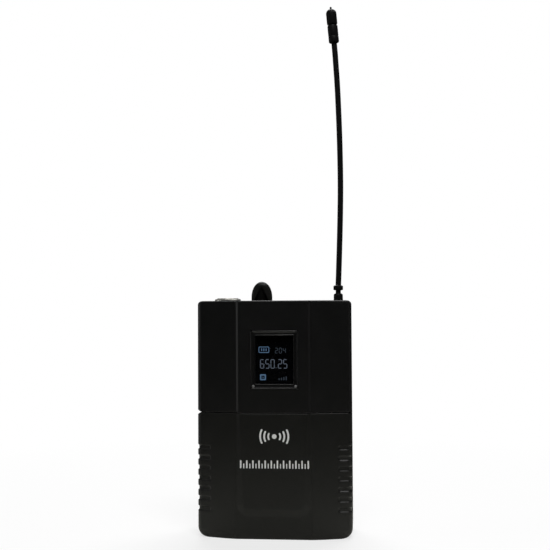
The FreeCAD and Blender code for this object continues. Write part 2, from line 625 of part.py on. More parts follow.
def antenna():
    bush = rod("bush_tube", "Z", "bushRadius", f"{plateTop} - bushLow", "antennaX", "0", "bushLow")
    keep(bush, "antenna_bush")
    hexagon = doc.addObject("Part::Prism", "antenna_nut_hexagon")
    bind(hexagon, "Circumradius", "bushRadius + 1.2")
    bind(hexagon, "Height", "flangeThick")
    place(hexagon, "antennaX", "0", f"{plateUnder} - flangeThick")
    nutBore = rod("antenna_nut_bore", "Z", "bushRadius", "flangeThick + 2", "antennaX", "0",
                  f"{plateUnder} - flangeThick - 1")
    keep(cut("antenna_nut", hexagon, nutBore), "antenna_nut")

    body = newBody("antenna_boot")
    profile = newSketch(body, "XZ")
    x, top = "antennaX", plateTop
    steps = [("0", "0"), ("beadRadius - 0.5", "0"), ("beadRadius", "0.8"), ("beadRadius", "beadHigh - 1"),
             ("neckRadius", "beadHigh"), ("neckRadius", "beadHigh + neckHigh"),
             ("collarRadius", "beadHigh + neckHigh + 0.4"),
             ("collarRadius", "beadHigh + neckHigh + collarHigh - 0.5"),
             ("neckRadius + 0.1", "beadHigh + neckHigh + collarHigh"),
             ("0", "beadHigh + neckHigh + collarHigh")]
    outline(profile, [(f"{x} + {r}", f"{top} + {rise}") for r, rise in steps])
    axis = newSketch(body, "XZ")
    axis.addGeometry(Part.LineSegment(FreeCAD.Vector(val(x), 0, 0), FreeCAD.Vector(val(x), 10, 0)))
    pinPoint(axis, 0, 1, x, "0")
    pinPoint(axis, 0, 2, x, "10")
    turned = body.newObject("PartDesign::Revolution", "antenna_boot_turned")
    turned.Profile = profile
    turned.ReferenceAxis = (axis, ["Edge1"])
    turned.Angle = 360
    doc.recompute()

    # the whip leans a little to +X and then curves back to -X near its tip
    foot = val(f"{plateTop} + beadHigh + neckHigh + collarHigh")
    tip = val("whipTip")
    lean = ((0.05, 0), (1.3, 0.3), (1.2, 0.56), (0.4, 0.8), (-0.25, 0.9), (-0.55, 0.95), (-1.0, 1))
    foot += 0.05  # the leaning whip's end clears the collar's flat top
    route = [FreeCAD.Vector(val(x) + dx, 0, foot + (tip - foot) * share) for dx, share in lean]
    coded("antenna_whip", tube(route, val("whipRadius")))
    ahead = (route[-1] - route[-2]).normalize()
    end = route[-1]
    socket = end - ahead * 1.0
    sleeve = Part.makeCylinder(val("sleeveRadius"), val("sleeveLong"), socket, ahead)
    sleeve = sleeve.makeFillet(0.4, [e for e in sleeve.Edges if e.Curve.TypeId == "Part::GeomCircle"])
    whipHole = Part.makeCylinder(val("whipRadius"), 1.0, socket, ahead)
    coded("antenna_tip_sleeve", sleeve.cut(whipHole))
    capFoot = socket + ahead * val("sleeveLong")
    neck = Part.makeCylinder(val("capRadius - 0.5"), val("capGap"), capFoot, ahead)
    capLow = capFoot + ahead * val("capGap")
    crown = Part.makeCylinder(val("capRadius"), val("capLong"), capLow, ahead)
    topEdge = [e for e in crown.Edges if e.Curve.TypeId == "Part::GeomCircle"
               and (e.Curve.Center - capLow).Length > 1]
    crown = crown.makeFillet(val("capRadius") - 0.25, topEdge)
    nubLow = capLow + ahead * (val("capLong") - 0.5)
    nub = Part.makeCylinder(val("nubRadius"), val("nubLong") + 0.5, nubLow, ahead)
    coded("antenna_tip_cap", neck.fuse([crown, nub]).removeSplitter())
    solderX, leadZ = val("pcbHalf - 1.5"), val("bushLow - leadDrop")
    lead = [FreeCAD.Vector(val(x), 0, val("bushLow")), FreeCAD.Vector(val(x), 0, leadZ),
            FreeCAD.Vector(solderX, 0, leadZ), FreeCAD.Vector(solderX, val("pcbY"), leadZ)]
    coded("antenna_lead", tube(lead, val("leadRadius"), val("leadBend")))


def boards():
    back = "pcbY + pcbThick"
    keep(box("main_board", "-pcbHalf", "pcbHalf", "pcbY", back, "pcbLow", "pcbHigh"), "main_board")
    can = box("can_block", "canLeft", "canRight", back, f"{back} + canDeep", "canLow", "canHigh")
    inside = box("can_inside", "canLeft + canThick", "canRight - canThick", f"{back} - 1",
                 f"{back} + canDeep - canThick", "canLow + canThick", "canHigh - canThick")
    keep(cut("rf_shield", can, inside), "rf_shield")


micSocket()
powerSwitch()
antenna()
boards()


def batteryBay():
    tray = box("tray_block", "-trayHalf - trayWall", "trayHalf + trayWall", "cellY - 5",
               "trayBack + trayWall", "bayLow - trayFloor", "bayHigh + trayFloor")
    well = box("tray_well", "-trayHalf", "trayHalf", "cellY - 6", "trayBack", "bayLow", "bayHigh")
    tabs = box("tray_tabs", "-trayHalf - tabWide", "trayHalf + tabWide", "trayBack",
               "trayBack + trayWall", "tabLow", "tabHigh")
    screwZ = "(tabLow + tabHigh) / 2"
    spots = [f"{side} * (trayHalf + tabWide / 2 + trayWall / 2)" for side in (-1, 1)]
    holes = [rod("tray_hole", "Y", "screwRadius", "trayWall + 2", x, "trayBack - 1", screwZ) for x in spots]
    keep(cut("battery_tray", fuse("tray_solid", tray, tabs), well, *holes), "battery_tray")
    screws = [fuse("tray_screw", rod("tray_screw_head", "Y", "screwHead", "1", x, "trayBack - 1", screwZ),
                   rod("tray_screw_shank", "Y", "screwRadius", "backY - wall - trayBack",
                       x, "trayBack", screwZ))
              for x in spots]
    keep(group("tray_screws", screws), "tray_screws")

    cellLength = "cellLong + nubHigh"
    bottom = "bayLow + contactThick"
    top = "bayHigh - contactThick"
    leftFoot = f"{top} - ({cellLength})"
    left = fuse("battery_cell_left",
                rod("left_can", "Z", "cellRadius", "cellLong", "-cellX", "cellY", leftFoot),
                rod("left_nub", "Z", "cellNub", cellLength, "-cellX", "cellY", leftFoot))
    keep(left, "battery_cell_left")
    right = fuse("battery_cell_right",
                 rod("right_can", "Z", "cellRadius", "cellLong", "cellX", "cellY", f"{bottom} + nubHigh"),
                 rod("right_nub", "Z", "cellNub", cellLength, "cellX", "cellY", bottom))
    keep(right, "battery_cell_right")
    reach = "cellNub + 3"
    keep(box("bridge_contact", f"-cellX - ({reach})", f"cellX + {reach}", f"cellY - ({reach})",
             f"cellY + {reach}", "bayLow", bottom), "bridge_contact")
    for name, x in (("positive_contact", "-cellX"), ("negative_contact", "cellX")):
        keep(box(name, f"{x} - ({reach})", f"{x} + {reach}", f"cellY - ({reach})", f"cellY + {reach}",
                 top, "bayHigh"), name)
    # each spring stands on its plate with its wide end and meets the cell with its narrow one
    wire = val("springWire")
    free = val(leftFoot) - val(bottom) - 2 * wire
    up = FreeCAD.Vector(0, 0, 1)
    small, wide, turnCount = val("springSmall"), val("springBig"), val("springTurns")
    foot = FreeCAD.Vector(-val("cellX"), val("cellY"), val(leftFoot) - wire)
    coded("bridge_spring", coil(small, wide, wire, turnCount, free, foot, -up))
    head = FreeCAD.Vector(val("cellX"), val("cellY"), val(bottom) + val(cellLength) + wire)
    coded("negative_spring", coil(small, wide, wire, turnCount, free, head, up))


def keys():
    face = "-panelY"
    under = "-panelY + panelThick"
    plate = box("panel_plate", "panelLeft", "panelRight", face, under, "panelLow", "panelHigh")
    leg = box("panel_leg", "panelRight - 0.9", "panelRight", under, "backY - wall", "panelLow", "panelHigh")
    levels = ("keyLowZ", "keyHighZ")
    holes = [rod("panel_hole", "Y", "keyRadius + keyGap", "panelThick + 2", "keyX", f"{face} - 1", z)
             for z in levels]
    keep(cut("key_panel", fuse("panel_solid", plate, leg), *holes), "key_panel")
    flangeFront = f"{under} + flangeGap"
    for name, z in zip(("select_key", "set_key"), levels):
        stem = rod(name + "_stem", "Y", "keyRadius", f"{flangeFront} + keyBack - ({face}) + keyProud",
                   "keyX", f"{face} - keyProud", z)
        collar = rod(name + "_collar", "Y", "keyFlange", "keyBack", "keyX", flangeFront, z)
        keep(fuse(name, stem, collar), name)
    tactFront = f"{flangeFront} + keyBack + keyTravel + 0.1"
    boardFront = f"{tactFront} + tactDeep"
    tacts = [box("tact", "keyX - tactHalf", "keyX + tactHalf", tactFront, boardFront,
                 f"{z} - tactHalf", f"{z} + tactHalf") for z in levels]
    keep(group("key_switches", tacts), "key_switches")
    keep(box("key_board", "panelLeft", "panelRight - 1", boardFront, f"{boardFront} + boardThick",
             "panelLow", "panelHigh"), "key_board")


def caseScrews():
    screws = []
    for side in ("", "-"):
        for level in ("bossLowZ", "bossHighZ"):
            shank = rod("case_screw_shank", "Y", "screwRadius", "screwLong - 0.2", f"{side}bossX",
                        "backY - screwLong", level)
            head = rod("case_screw_head", "Y", "screwHead", "screwSink - 0.2", f"{side}bossX",
                       "backY - screwSink", level)
            screws.append(fuse("case_screw", shank, head))
    keep(group("case_screws", screws), "case_screws")


batteryBay()
keys()
caseScrews()


def beltClip():
    plateFace = "backY + bracketThick"
    plate = box("bracket_plate", "-bracketHalf", "bracketHalf", "backY", plateFace,
                "bracketLow", "bracketHigh")
    solids = [plate]
    for x in ("earInner", "-earInner - earThick"):
        solids.append(box("ear_web", x, f"{x} + earThick", "backY", "hingeY", "hingeZ - earRadius",
                          "hingeZ + earRadius"))
        solids.append(rod("ear_round", "X", "earRadius", "earThick", x, "hingeY", "hingeZ"))
    pinLong = "2 * (earInner + earThick)"
    eye = rod("ear_eye", "X", "pinHalf", f"{pinLong} + 2", "-earInner - earThick - 1", "hingeY", "hingeZ")
    levels = ("bracketScrewLow", "bracketScrewHigh")
    holes = [rod("bracket_hole", "Y", "screwRadius", "bracketThick + 2", "0", "backY - 1", z) for z in levels]
    keep(cut("clip_bracket", fuse("bracket_solid", *solids), eye, *holes), "clip_bracket")
    keep(rod("clip_pin", "X", "pinHalf", pinLong, "-earInner - earThick", "hingeY", "hingeZ"), "clip_pin")
    screws = [fuse("bracket_screw",
                   rod("bracket_screw_head", "Y", "screwHead", "0.9", "0", plateFace, z),
                   rod("bracket_screw_shank", "Y", "screwRadius", "bracketThick", "0", "backY", z))
              for z in levels]
    keep(group("bracket_screws", screws), "bracket_screws")

    body = newBody("belt_clip")
    arm = newSketch(body, "YZ")
    inside = "hingeY + clipGap"
    outside = f"{inside} + clipThick"
    outline(arm, [(inside, "clipTop"), (inside, "clipKnee"), ("backY + toeGap", "clipToe"),
                  ("backY + endGap", "clipEnd"), ("backY + endGap + clipThick", "clipEnd + 0.6"),
                  ("backY + toeGap + clipThick + 0.9", "clipToe"), (outside, "clipKnee - 1"),
                  (outside, "clipTop")])
    pad(body, arm, "2 * clipHalf", both=True)
    dress(body, "Fillet", "3", straightEdges(
        body.Tip.Shape, (0, 1, 0), lambda x, y, z: near(abs(x), "clipHalf") and near(z, "clipTop")))
    for x in ("hubInner", "-hubOuter"):
        hub = newSketch(body, "YZ", x)
        outline(hub, [("hingeY", "hingeZ - earRadius"), (f"{inside} + 0.5", "hingeZ - earRadius"),
                      (f"{inside} + 0.5", "hingeZ + earRadius"), ("hingeY", "hingeZ + earRadius")])
        pad(body, hub, "hubOuter - hubInner")
        knuckle = newSketch(body, "YZ", x)
        disc(knuckle, "hingeY", "hingeZ", "earRadius")
        pad(body, knuckle, "hubOuter - hubInner")
    bore = newSketch(body, "YZ")
    disc(bore, "hingeY", "hingeZ", "pinHalf + hubGap")
    pocket(body, bore, "2 * hubOuter + 2", both=True)

    wire = val("coilWire")
    wound = val("hubInner") * 2 - 0.8
    centre = FreeCAD.Vector(0, val("hingeY"), val("hingeZ"))
    across = FreeCAD.Vector(1, 0, 0)
    spring = coil(val("coilRadius"), val("coilRadius"), wire, val("coilTurns"), wound,
                  centre - across * (wound / 2), across)
    radius = val("coilRadius")
    backLeg = Part.makeCylinder(wire, val("hingeY") - val(plateFace), centre + FreeCAD.Vector(
        -wound / 2, 0, -radius), FreeCAD.Vector(0, -1, 0))
    armLeg = Part.makeCylinder(wire, val("clipGap") - wire, centre + FreeCAD.Vector(
        wound / 2, 0, -radius), FreeCAD.Vector(0, 1, 0))
    coded("clip_spring", spring.fuse([backLeg, armLeg]))


beltClip()

doc.recompute()
for obj in doc.Objects:
    if "Invalid" in obj.State or "Error" in obj.State:
        raise RuntimeError(f"{obj.Name} is {obj.State}")
os.makedirs("parts", exist_ok=True)
for piece in pieces:
    shape = piece.Shape
    if shape.isNull() or not shape.isValid():
        raise RuntimeError(f"{piece.Label} has no valid shape")
    shape.exportStep(f"parts/{piece.Label}.step")
    reach = shape.BoundBox
    print(f"{piece.Label:22s} {len(shape.Solids)} solids {shape.Volume:9.1f} mm3  "
          f"X {reach.XMin:6.1f} {reach.XMax:6.1f}  Y {reach.YMin:6.1f} {reach.YMax:6.1f}  "
          f"Z {reach.ZMin:6.1f} {reach.ZMax:6.1f}")
print(len(pieces), "sub-parts")
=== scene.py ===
import json
import math

import bmesh
import bpy
import numpy as np
from mathutils import Matrix, Vector


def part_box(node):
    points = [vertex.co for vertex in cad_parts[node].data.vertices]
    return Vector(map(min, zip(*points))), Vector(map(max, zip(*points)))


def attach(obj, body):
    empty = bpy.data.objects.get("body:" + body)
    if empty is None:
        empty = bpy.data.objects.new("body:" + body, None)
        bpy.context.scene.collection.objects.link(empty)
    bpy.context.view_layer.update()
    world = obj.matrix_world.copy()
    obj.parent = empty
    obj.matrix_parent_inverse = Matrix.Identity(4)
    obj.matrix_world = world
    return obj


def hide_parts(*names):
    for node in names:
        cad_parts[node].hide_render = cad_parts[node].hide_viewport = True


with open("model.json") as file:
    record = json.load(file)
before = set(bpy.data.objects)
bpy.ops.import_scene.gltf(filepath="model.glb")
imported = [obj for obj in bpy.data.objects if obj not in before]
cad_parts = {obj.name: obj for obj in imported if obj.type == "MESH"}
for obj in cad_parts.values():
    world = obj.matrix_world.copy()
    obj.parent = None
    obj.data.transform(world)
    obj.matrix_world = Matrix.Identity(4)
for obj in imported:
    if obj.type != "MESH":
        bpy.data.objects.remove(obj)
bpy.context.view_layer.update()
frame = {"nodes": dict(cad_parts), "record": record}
print("frame loaded:", len(frame["nodes"]), "nodes")

mm = 0.001
bodyOf = {node: body for body, nodes in frame["record"]["behaviour"]["bodies"].items() for node in nodes}
slotOf = {row["node"]: row["material_slot"] for row in frame["record"]["subparts"]}


def nodeBox(node):
    # lowest and highest corner of a CAD node, in millimetres
    low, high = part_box(node)
    return np.array(low) / mm, np.array(high) / mm


# Every shape below is worked out in millimetres as whole arrays, then scaled to metres.

def gridQuads(rows, columns, ring):
    # quads of a rows x columns grid; a ring joins its last column to its first
    row = np.arange(rows - 1)[:, None]
    column = np.arange(columns if ring else columns - 1)[None, :]
    after = (column + 1) % columns
    corners = [row * columns + column, row * columns + after,
               (row + 1) * columns + after, (row + 1) * columns + column]
    return np.stack(np.broadcast_arrays(*corners), axis=-1).reshape(-1, 4)


def inScene(mesh):
    made = bpy.data.objects.new("piece", mesh)
    bpy.context.scene.collection.objects.link(made)
    return made


def newObject(points, faces):
    mesh = bpy.data.meshes.new("piece")
    mesh.from_pydata((np.asarray(points) * mm).tolist(), [], faces)
    return inScene(mesh)


def finishMesh(made, smoothAngle):
    # merges doubled points, turns the faces outwards and shades smooth below the angle
    work = bmesh.new()
    work.from_mesh(made.data)
    bmesh.ops.remove_doubles(work, verts=work.verts, dist=2e-7)
    bmesh.ops.dissolve_degenerate(work, edges=work.edges, dist=1e-7)
    bmesh.ops.recalc_face_normals(work, faces=work.faces)
    work.to_mesh(made.data)
    work.free()
    made.data.shade_smooth()
    made.data.set_sharp_from_angle(angle=math.radians(smoothAngle))
    return made


def ringsMesh(points, smoothAngle, caps=(True, True)):
    # a closed surface through rings of points, one to a row; caps says which end rings get a flat face
    rows, count = points.shape[:2]
    faces = gridQuads(rows, count, True).tolist()
    faces += [list(range(row * count, (row + 1) * count)) for row, cap in zip((0, rows - 1), caps) if cap]
    return finishMesh(newObject(points.reshape(-1, 3), faces), smoothAngle)


def smoothStep(value, blur=0.02):
    # 0 below 0 and 1 above 1, a straight ramp between, with both corners blurred
    return 0.5 * (np.sqrt(value ** 2 + blur) - np.sqrt((value - 1) ** 2 + blur) + 1)


def roundCorners(points, radii, turnStep=12):
    # a flat path with each corner replaced by an arc of its radius, in steps of turnStep degrees
    path = []
    count = len(points)
    for i, (point, radius) in enumerate(zip(points, radii)):
        point = np.array(point, float)
        if radius == 0:
            path.append(point[None])
            continue
        back = np.array(points[i - 1], float) - point
        ahead = np.array(points[(i + 1) % count], float) - point
        back, ahead = back / np.hypot(*back), ahead / np.hypot(*ahead)
        half = math.acos(np.clip(back @ ahead, -1, 1)) / 2
        middle = back + ahead
        centre = point + middle / np.hypot(*middle) * radius / math.sin(half)
        start, end = (point + side * radius / math.tan(half) - centre for side in (back, ahead))
        sweep = math.atan2(start[0] * end[1] - start[1] * end[0], start @ end)
        steps = max(2, math.ceil(abs(math.degrees(sweep)) / turnStep - 1e-6))
        angle = math.atan2(start[1], start[0]) + sweep * np.linspace(0, 1, steps + 1)
        path.append(centre + radius * np.stack([np.cos(angle), np.sin(angle)], axis=1))
    return np.concatenate(path)


def roundedBox(x0, x1, y0, y1, radius):
    return roundCorners([(x0, y0), (x1, y0), (x1, y1), (x0, y1)], [radius] * 4)


def smoothPath(points, steps):
    # quadratic spline that touches the middle of each leg of the control polygon
    points = np.array(points, float)
    middles = (points[1:-2] + points[2:-1]) / 2
    starts = np.concatenate([points[:1], middles])
    ends = np.concatenate([middles, points[-1:]])
    share = np.linspace(0, 1, steps, endpoint=False)[None, :, None]
    bends = points[1:-1, None]
    curve = (1 - share) ** 2 * starts[:, None] + 2 * share * (1 - share) * bends + share ** 2 * ends[:, None]
    return np.concatenate([curve.reshape(-1, points.shape[1]), points[-1:]])


def insetRing(ring, inset):
    # a closed ring moved inwards along its mitred normals
    ahead = np.roll(ring, -1, axis=0) - ring
    ahead = ahead / np.maximum(np.hypot(*ahead.T), 1e-9)[:, None]
    normal = np.stack([-ahead[:, 1], ahead[:, 0]], axis=1)
    mitre = normal + np.roll(normal, 1, axis=0)
    mitre = mitre / np.maximum((mitre * mitre).sum(1), 0.5)[:, None] * 2
    return ring + mitre * inset


planes = {  # how a ring's two coordinates and the height above it become x, y and z
    "XY": lambda u, v, high: (u, v, high),
    "XZ": lambda u, v, high: (u, high, v),
}


def stack(rings, heights, plane, looped=False, smoothAngle=35):
    # rings of equal length one above another: capped at both ends, or joined last to first
    rings, heights = np.asarray(rings, float), np.asarray(heights, float)
    if looped:
        rings, heights = np.concatenate([rings, rings[:1]]), np.append(heights, heights[0])
    level = np.broadcast_to(heights[:, None], rings.shape[:2])
    points = np.stack(planes[plane](rings[..., 0], rings[..., 1], level), axis=-1)
    return ringsMesh(points, smoothAngle, (not looped,) * 2)


def slab(ring, plane, low, high, edge=0.2, smoothAngle=35):
    # a flat plate: the ring rises from low to high, and its rims are quarter rounds of radius edge
    turn = np.linspace(0, math.pi / 2, 4)
    inset = edge * (1 - np.sin(turn))
    rise = edge * (1 - np.cos(turn))
    insets = np.concatenate([inset, inset[::-1]])
    heights = np.concatenate([low + rise, (high - rise)[::-1]])
    return stack([insetRing(ring, amount) for amount in insets], heights, plane, False, smoothAngle)


def lathe(profile, centre, axis="Z", segments=64, looped=False, smoothAngle=30, dent=None, lean=0.0):
    # the profile's radii and heights carried round an axis; dent returns new radii and heights,
    # and lean tilts the axis from Z towards X
    profile = np.array(profile, float)
    if looped:
        profile = np.concatenate([profile, profile[:1]])
    angle = np.arange(segments) / segments * 2 * math.pi
    radius = np.broadcast_to(profile[:, :1], (len(profile), segments))
    high = np.broadcast_to(profile[:, 1:], radius.shape)
    if dent is not None:
        radius, high = dent(np.broadcast_to(angle, radius.shape), radius, high)
    u, v = radius * np.cos(angle), radius * np.sin(angle)
    x, y, z = {"Z": (u, v, high), "Y": (u, high, v), "X": (high, u, v)}[axis]
    x, z = x * math.cos(lean) + z * math.sin(lean), z * math.cos(lean) - x * math.sin(lean)
    points = np.stack([x, y, z], axis=-1) + np.array(centre, float)
    return ringsMesh(points, smoothAngle, [end > 1e-6 and not looped for end in profile[[0, -1], 0]])


def tube(path, radius, side, segments):
    # a circle carried along the path; side is a direction that never lies along it
    path = np.array(path, float)
    along = np.gradient(path, axis=0)
    along = along / np.linalg.norm(along, axis=1)[:, None]
    across = np.cross(along, side)
    across = across / np.linalg.norm(across, axis=1)[:, None]
    up = np.cross(across, along)
    angle = np.arange(segments) / segments * 2 * math.pi
    circle = np.cos(angle)[None, :, None] * across[:, None] + np.sin(angle)[None, :, None] * up[:, None]
    return ringsMesh(path[:, None] + radius * circle, 50)


def joined(parts):
    # several finished meshes as one piece
    work = bmesh.new()
    for part in parts:
        work.from_mesh(part.data)
    mesh = bpy.data.meshes.new("piece")
    work.to_mesh(mesh)
    work.free()
    for part in parts:
        bpy.data.objects.remove(part)
    return inScene(mesh)


def softCopy(node, edge):
    # a merged copy of a CAD node whose edges sharper than the angle get a small round
    angle = math.radians(30)
    made = inScene(frame["nodes"][node].data.copy())
    work = bmesh.new()
    work.from_mesh(made.data)
    bmesh.ops.remove_doubles(work, verts=work.verts, dist=1e-6)
    bmesh.ops.dissolve_limit(work, angle_limit=math.radians(0.8), verts=work.verts, edges=work.edges)
    work.to_mesh(made.data)
    work.free()
    made.data.shade_smooth()
    made.data.set_sharp_from_angle(angle=angle)
    if edge:
        bevel = made.modifiers.new("bevel", "BEVEL")
        bevel.width, bevel.segments, bevel.harden_normals = edge * mm, 2, True
        bevel.limit_method, bevel.angle_limit = "ANGLE", angle
    return made


def bars(marks, low, high, plane="XZ"):
    # hexagonal strokes, one for each (middle u, middle v, length, width, angle), as thin prisms
    marks = np.array(marks, float)
    point = np.array([(-0.5, 0), (-0.5, 0.5), (0.5, 0.5), (0.5, 0), (0.5, -0.5), (-0.5, -0.5)])
    pull = np.array([0, 0.35, -0.35, 0, -0.35, 0.35])
    length, width, angle = marks[:, 2:3], marks[:, 3:4], np.radians(marks[:, 4:5])
    u = point[:, 0] * length + pull * width
    v = point[:, 1] * width
    across = marks[:, 0:1] + u * np.cos(angle) - v * np.sin(angle)
    up = marks[:, 1:2] + u * np.sin(angle) + v * np.cos(angle)
    across, up = np.concatenate([across, across], axis=1), np.concatenate([up, up], axis=1)
    level = np.broadcast_to(np.repeat([low, high], 6), across.shape)
    points = np.stack(planes[plane](across, up, level), axis=-1)
    first = np.arange(len(marks))[:, None] * 12
    step = np.arange(6)
    sides = np.stack([step, (step + 1) % 6, (step + 1) % 6 + 6, step + 6], axis=-1)
    faces = (first[:, :, None] + sides[None]).reshape(-1, 4).tolist()
    faces += (first + step).tolist() + (first + step + 6).tolist()
    return finishMesh(newObject(points.reshape(-1, 3), faces), 20)


def arcStroke(centre, radius, width, start, end, low, high):
    # a curved stroke with round ends in the XZ plane
    angle = np.radians(np.linspace(start, end, 25))
    turn = np.linspace(0, math.pi, 9)[1:-1]
    out = np.stack([np.cos(angle), np.sin(angle)], axis=1)
    tips = []
    for last, sign in ((angle[-1], 1), (angle[0], -1)):
        middle = radius * np.array([np.cos(last), np.sin(last)])
        spin = last + (turn if sign > 0 else turn + math.pi)
        tips.append(middle + width / 2 * np.stack([np.cos(spin), np.sin(spin)], axis=1))
    ring = np.concatenate([out * (radius + width / 2), tips[0], out[::-1] * (radius - width / 2), tips[1]])
    return slab(ring + np.array(centre), "XZ", low, high, 0.01)


def operator(name, reflected=False):
    def apply(self, other):
        return self.calc(name, *((other, self) if reflected else (self, other)))
    return apply


class Signal:
    # one socket of a material; sums, products and powers of signals and numbers add Math nodes
    def __init__(self, paint, socket):
        self.paint, self.socket = paint, socket

    def calc(self, operation, *values):
        return self.paint.node("ShaderNodeMath", {"operation": operation}, dict(enumerate(values)))

    __add__, __radd__ = operator("ADD"), operator("ADD", True)
    __sub__, __rsub__ = operator("SUBTRACT"), operator("SUBTRACT", True)
    __mul__, __rmul__ = operator("MULTIPLY"), operator("MULTIPLY", True)
    __pow__, __lt__ = operator("POWER"), operator("LESS_THAN")


class Paint:
    # a material with one Principled shader; constants go straight onto its sockets
    def __init__(self, name, **constants):
        self.material = bpy.data.materials.new(name)
        self.material.use_nodes = True
        self.tree = self.material.node_tree
        self.shader = self.tree.nodes["Principled BSDF"]
        for key, value in constants.items():
            self.shader.inputs[key.replace("_", " ")].default_value = value
        self.place = self.node("ShaderNodeTexCoord", {}, {}, "Object")

    def node(self, kind, settings, inputs, output=0):
        made = self.tree.nodes.new(kind)
        for key, value in settings.items():
            setattr(made, key, value)
        for key, value in inputs.items():
            self.feed(made.inputs[key], value)
        return Signal(self, made.outputs[output])

    def feed(self, socket, value):
        if isinstance(value, Signal):
            self.tree.links.new(value.socket, socket)
        elif hasattr(value, "__len__") and len(value) == 3 and socket.type == "RGBA":
            socket.default_value = (*value, 1)
        else:
            socket.default_value = value

    def shade(self, **links):
        for key, value in links.items():
            self.feed(self.shader.inputs[key.replace("_", " ")], value)

    def noise(self, size, detail=3, rough=0.5, stretch=(1, 1, 1)):
        # cloudy value from 0 to 1 whose lumps are about size millimetres across
        spot = self.node("ShaderNodeMapping", {}, {"Vector": self.place, "Scale": stretch})
        wanted = {"Vector": spot, "Scale": 1 / (size * mm), "Detail": detail, "Roughness": rough}
        return self.node("ShaderNodeTexNoise", {"noise_dimensions": "3D"}, wanted)

    def cells(self, size):
        # distance to the nearest of scattered points about size millimetres apart
        wanted = {"Vector": self.place, "Scale": 1 / (size * mm)}
        return self.node("ShaderNodeTexVoronoi", {}, wanted, "Distance")

    def mix(self, factor, low, high):
        # blends two colours
        return self.node("ShaderNodeMix", {"data_type": "RGBA"}, {0: factor, 6: low, 7: high}, 2)

    def spread(self, value, low, high, toLow=0.0, toHigh=1.0):
        # maps low..high onto toLow..toHigh and holds the ends
        wanted = {0: value, 1: low, 2: high, 3: toLow, 4: toHigh}
        return self.node("ShaderNodeMapRange", {"clamp": True}, wanted)

    def axes(self):
        split = self.node("ShaderNodeSeparateXYZ", {}, {"Vector": self.place}, "X")
        return [Signal(self, split.socket.node.outputs[letter]) for letter in "XYZ"]

    def bump(self, height, depth, strength=1.0):
        wanted = {"Height": height, "Distance": depth * mm, "Strength": strength}
        return self.node("ShaderNodeBump", {}, wanted)


finishes = {}


def plastic(name, shade, rough, grain, depth, sheen=0.5, tint=(1, 1, 1), dust=0.5):
    # moulded plastic: a fine mould texture, cloudy gloss and a trace of dust in the grain
    paint = Paint(name, Specular_IOR_Level=sheen)
    fine = paint.noise(grain, 4, 0.6)
    broad = paint.noise(9, 3)
    pits = paint.cells(grain * 1.6)
    colour = [shade * part for part in tint]
    pale = [shade * 1.5 * part + 0.002 for part in tint]
    dusty = paint.spread(fine * broad, 0.28, 0.5, 0, dust)
    paint.shade(Base_Color=paint.mix(dusty, colour, pale),
                Roughness=rough + (broad - 0.5) * 0.1 + (fine - 0.5) * 0.1,
                Normal=paint.bump(fine * 0.6 + pits * 0.4, depth))
    finishes[name] = paint.material


def metal(name, colour, rough, brush=(1, 1, 1), brushSize=0.6, tarnish=0.15):
    # plated or rolled metal: fine brushing and cloudy tarnish
    paint = Paint(name, Metallic=1.0)
    lines = paint.noise(brushSize, 5, 0.7, brush)
    cloud = paint.noise(4, 3)
    dull = [part * 0.55 for part in colour]
    paint.shade(Base_Color=paint.mix(paint.spread(cloud, 0.45, 0.75, 0, tarnish * 2), colour, dull),
                Roughness=rough + (lines - 0.5) * 0.16 + (cloud - 0.5) * 0.12,
                Normal=paint.bump(lines, 0.004, 0.6))
    finishes[name] = paint.material


def circuitBoard(name):
    # green solder mask over copper tracks, with bare pads
    paint = Paint(name, Specular_IOR_Level=0.5)
    upright = paint.node("ShaderNodeMapping", {}, {"Vector": paint.place, "Rotation": (math.pi / 2, 0, 0)})
    wanted = {"Vector": upright, "Scale": 1 / (6 * mm), "Mortar Size": 0.03, "Brick Width": 0.6,
              "Row Height": 0.18}
    tracks = paint.node("ShaderNodeTexBrick", {}, wanted, "Fac")
    pads = paint.cells(2.4) < 0.12
    mask = paint.mix(tracks * 0.7, (0.008, 0.06, 0.022), (0.02, 0.13, 0.045))
    paint.shade(Base_Color=paint.mix(pads, mask, (0.62, 0.55, 0.4)), Metallic=pads * 0.9,
                Roughness=0.32 + paint.noise(1.5) * 0.12, Normal=paint.bump(tracks * 0.6 + pads, 0.03))
    finishes[name] = paint.material


cellPrint = {"cap": (1.2, 1.6), "band": (15.5, 15.7), "ruleStart": (16.2, 16.3), "ruleEnd": (17.2, 17.3),
             "base": (49.6, 49.9)}


def cellSleeve(name, nubEnd, sign):
    # a battery's printed sleeve: copper-coloured end by the nub, dark body, fine rolled lines
    paint = Paint(name, Specular_IOR_Level=0.6, Coat_Weight=0.3, Coat_Roughness=0.12)
    along = (paint.axes()[2] - nubEnd * mm) * sign

    def past(edge, before=0, after=1):
        # goes from before to after across a printed edge
        start, end = cellPrint[edge]
        return paint.spread(along, start * mm, end * mm, before, after)

    scuffs = paint.noise(0.8, 5, 0.7, (1, 1, 4))
    band = past("band", 1, 0)
    rule = past("ruleStart") * (1 - past("ruleEnd"))
    body = paint.mix(band, (0.015, 0.016, 0.02), (0.5, 0.2, 0.07))
    sleeve = paint.mix(rule, body, (0.6, 0.6, 0.58))
    bare = past("cap", 1, 0) + past("base")
    paint.shade(Base_Color=paint.mix(bare, sleeve, (0.6, 0.6, 0.58)), Metallic=0.2 + band * 0.4 + bare * 0.4,
                Roughness=0.3 + scuffs * 0.15, Normal=paint.bump(scuffs, 0.01, 0.5))
    finishes[name] = paint.material


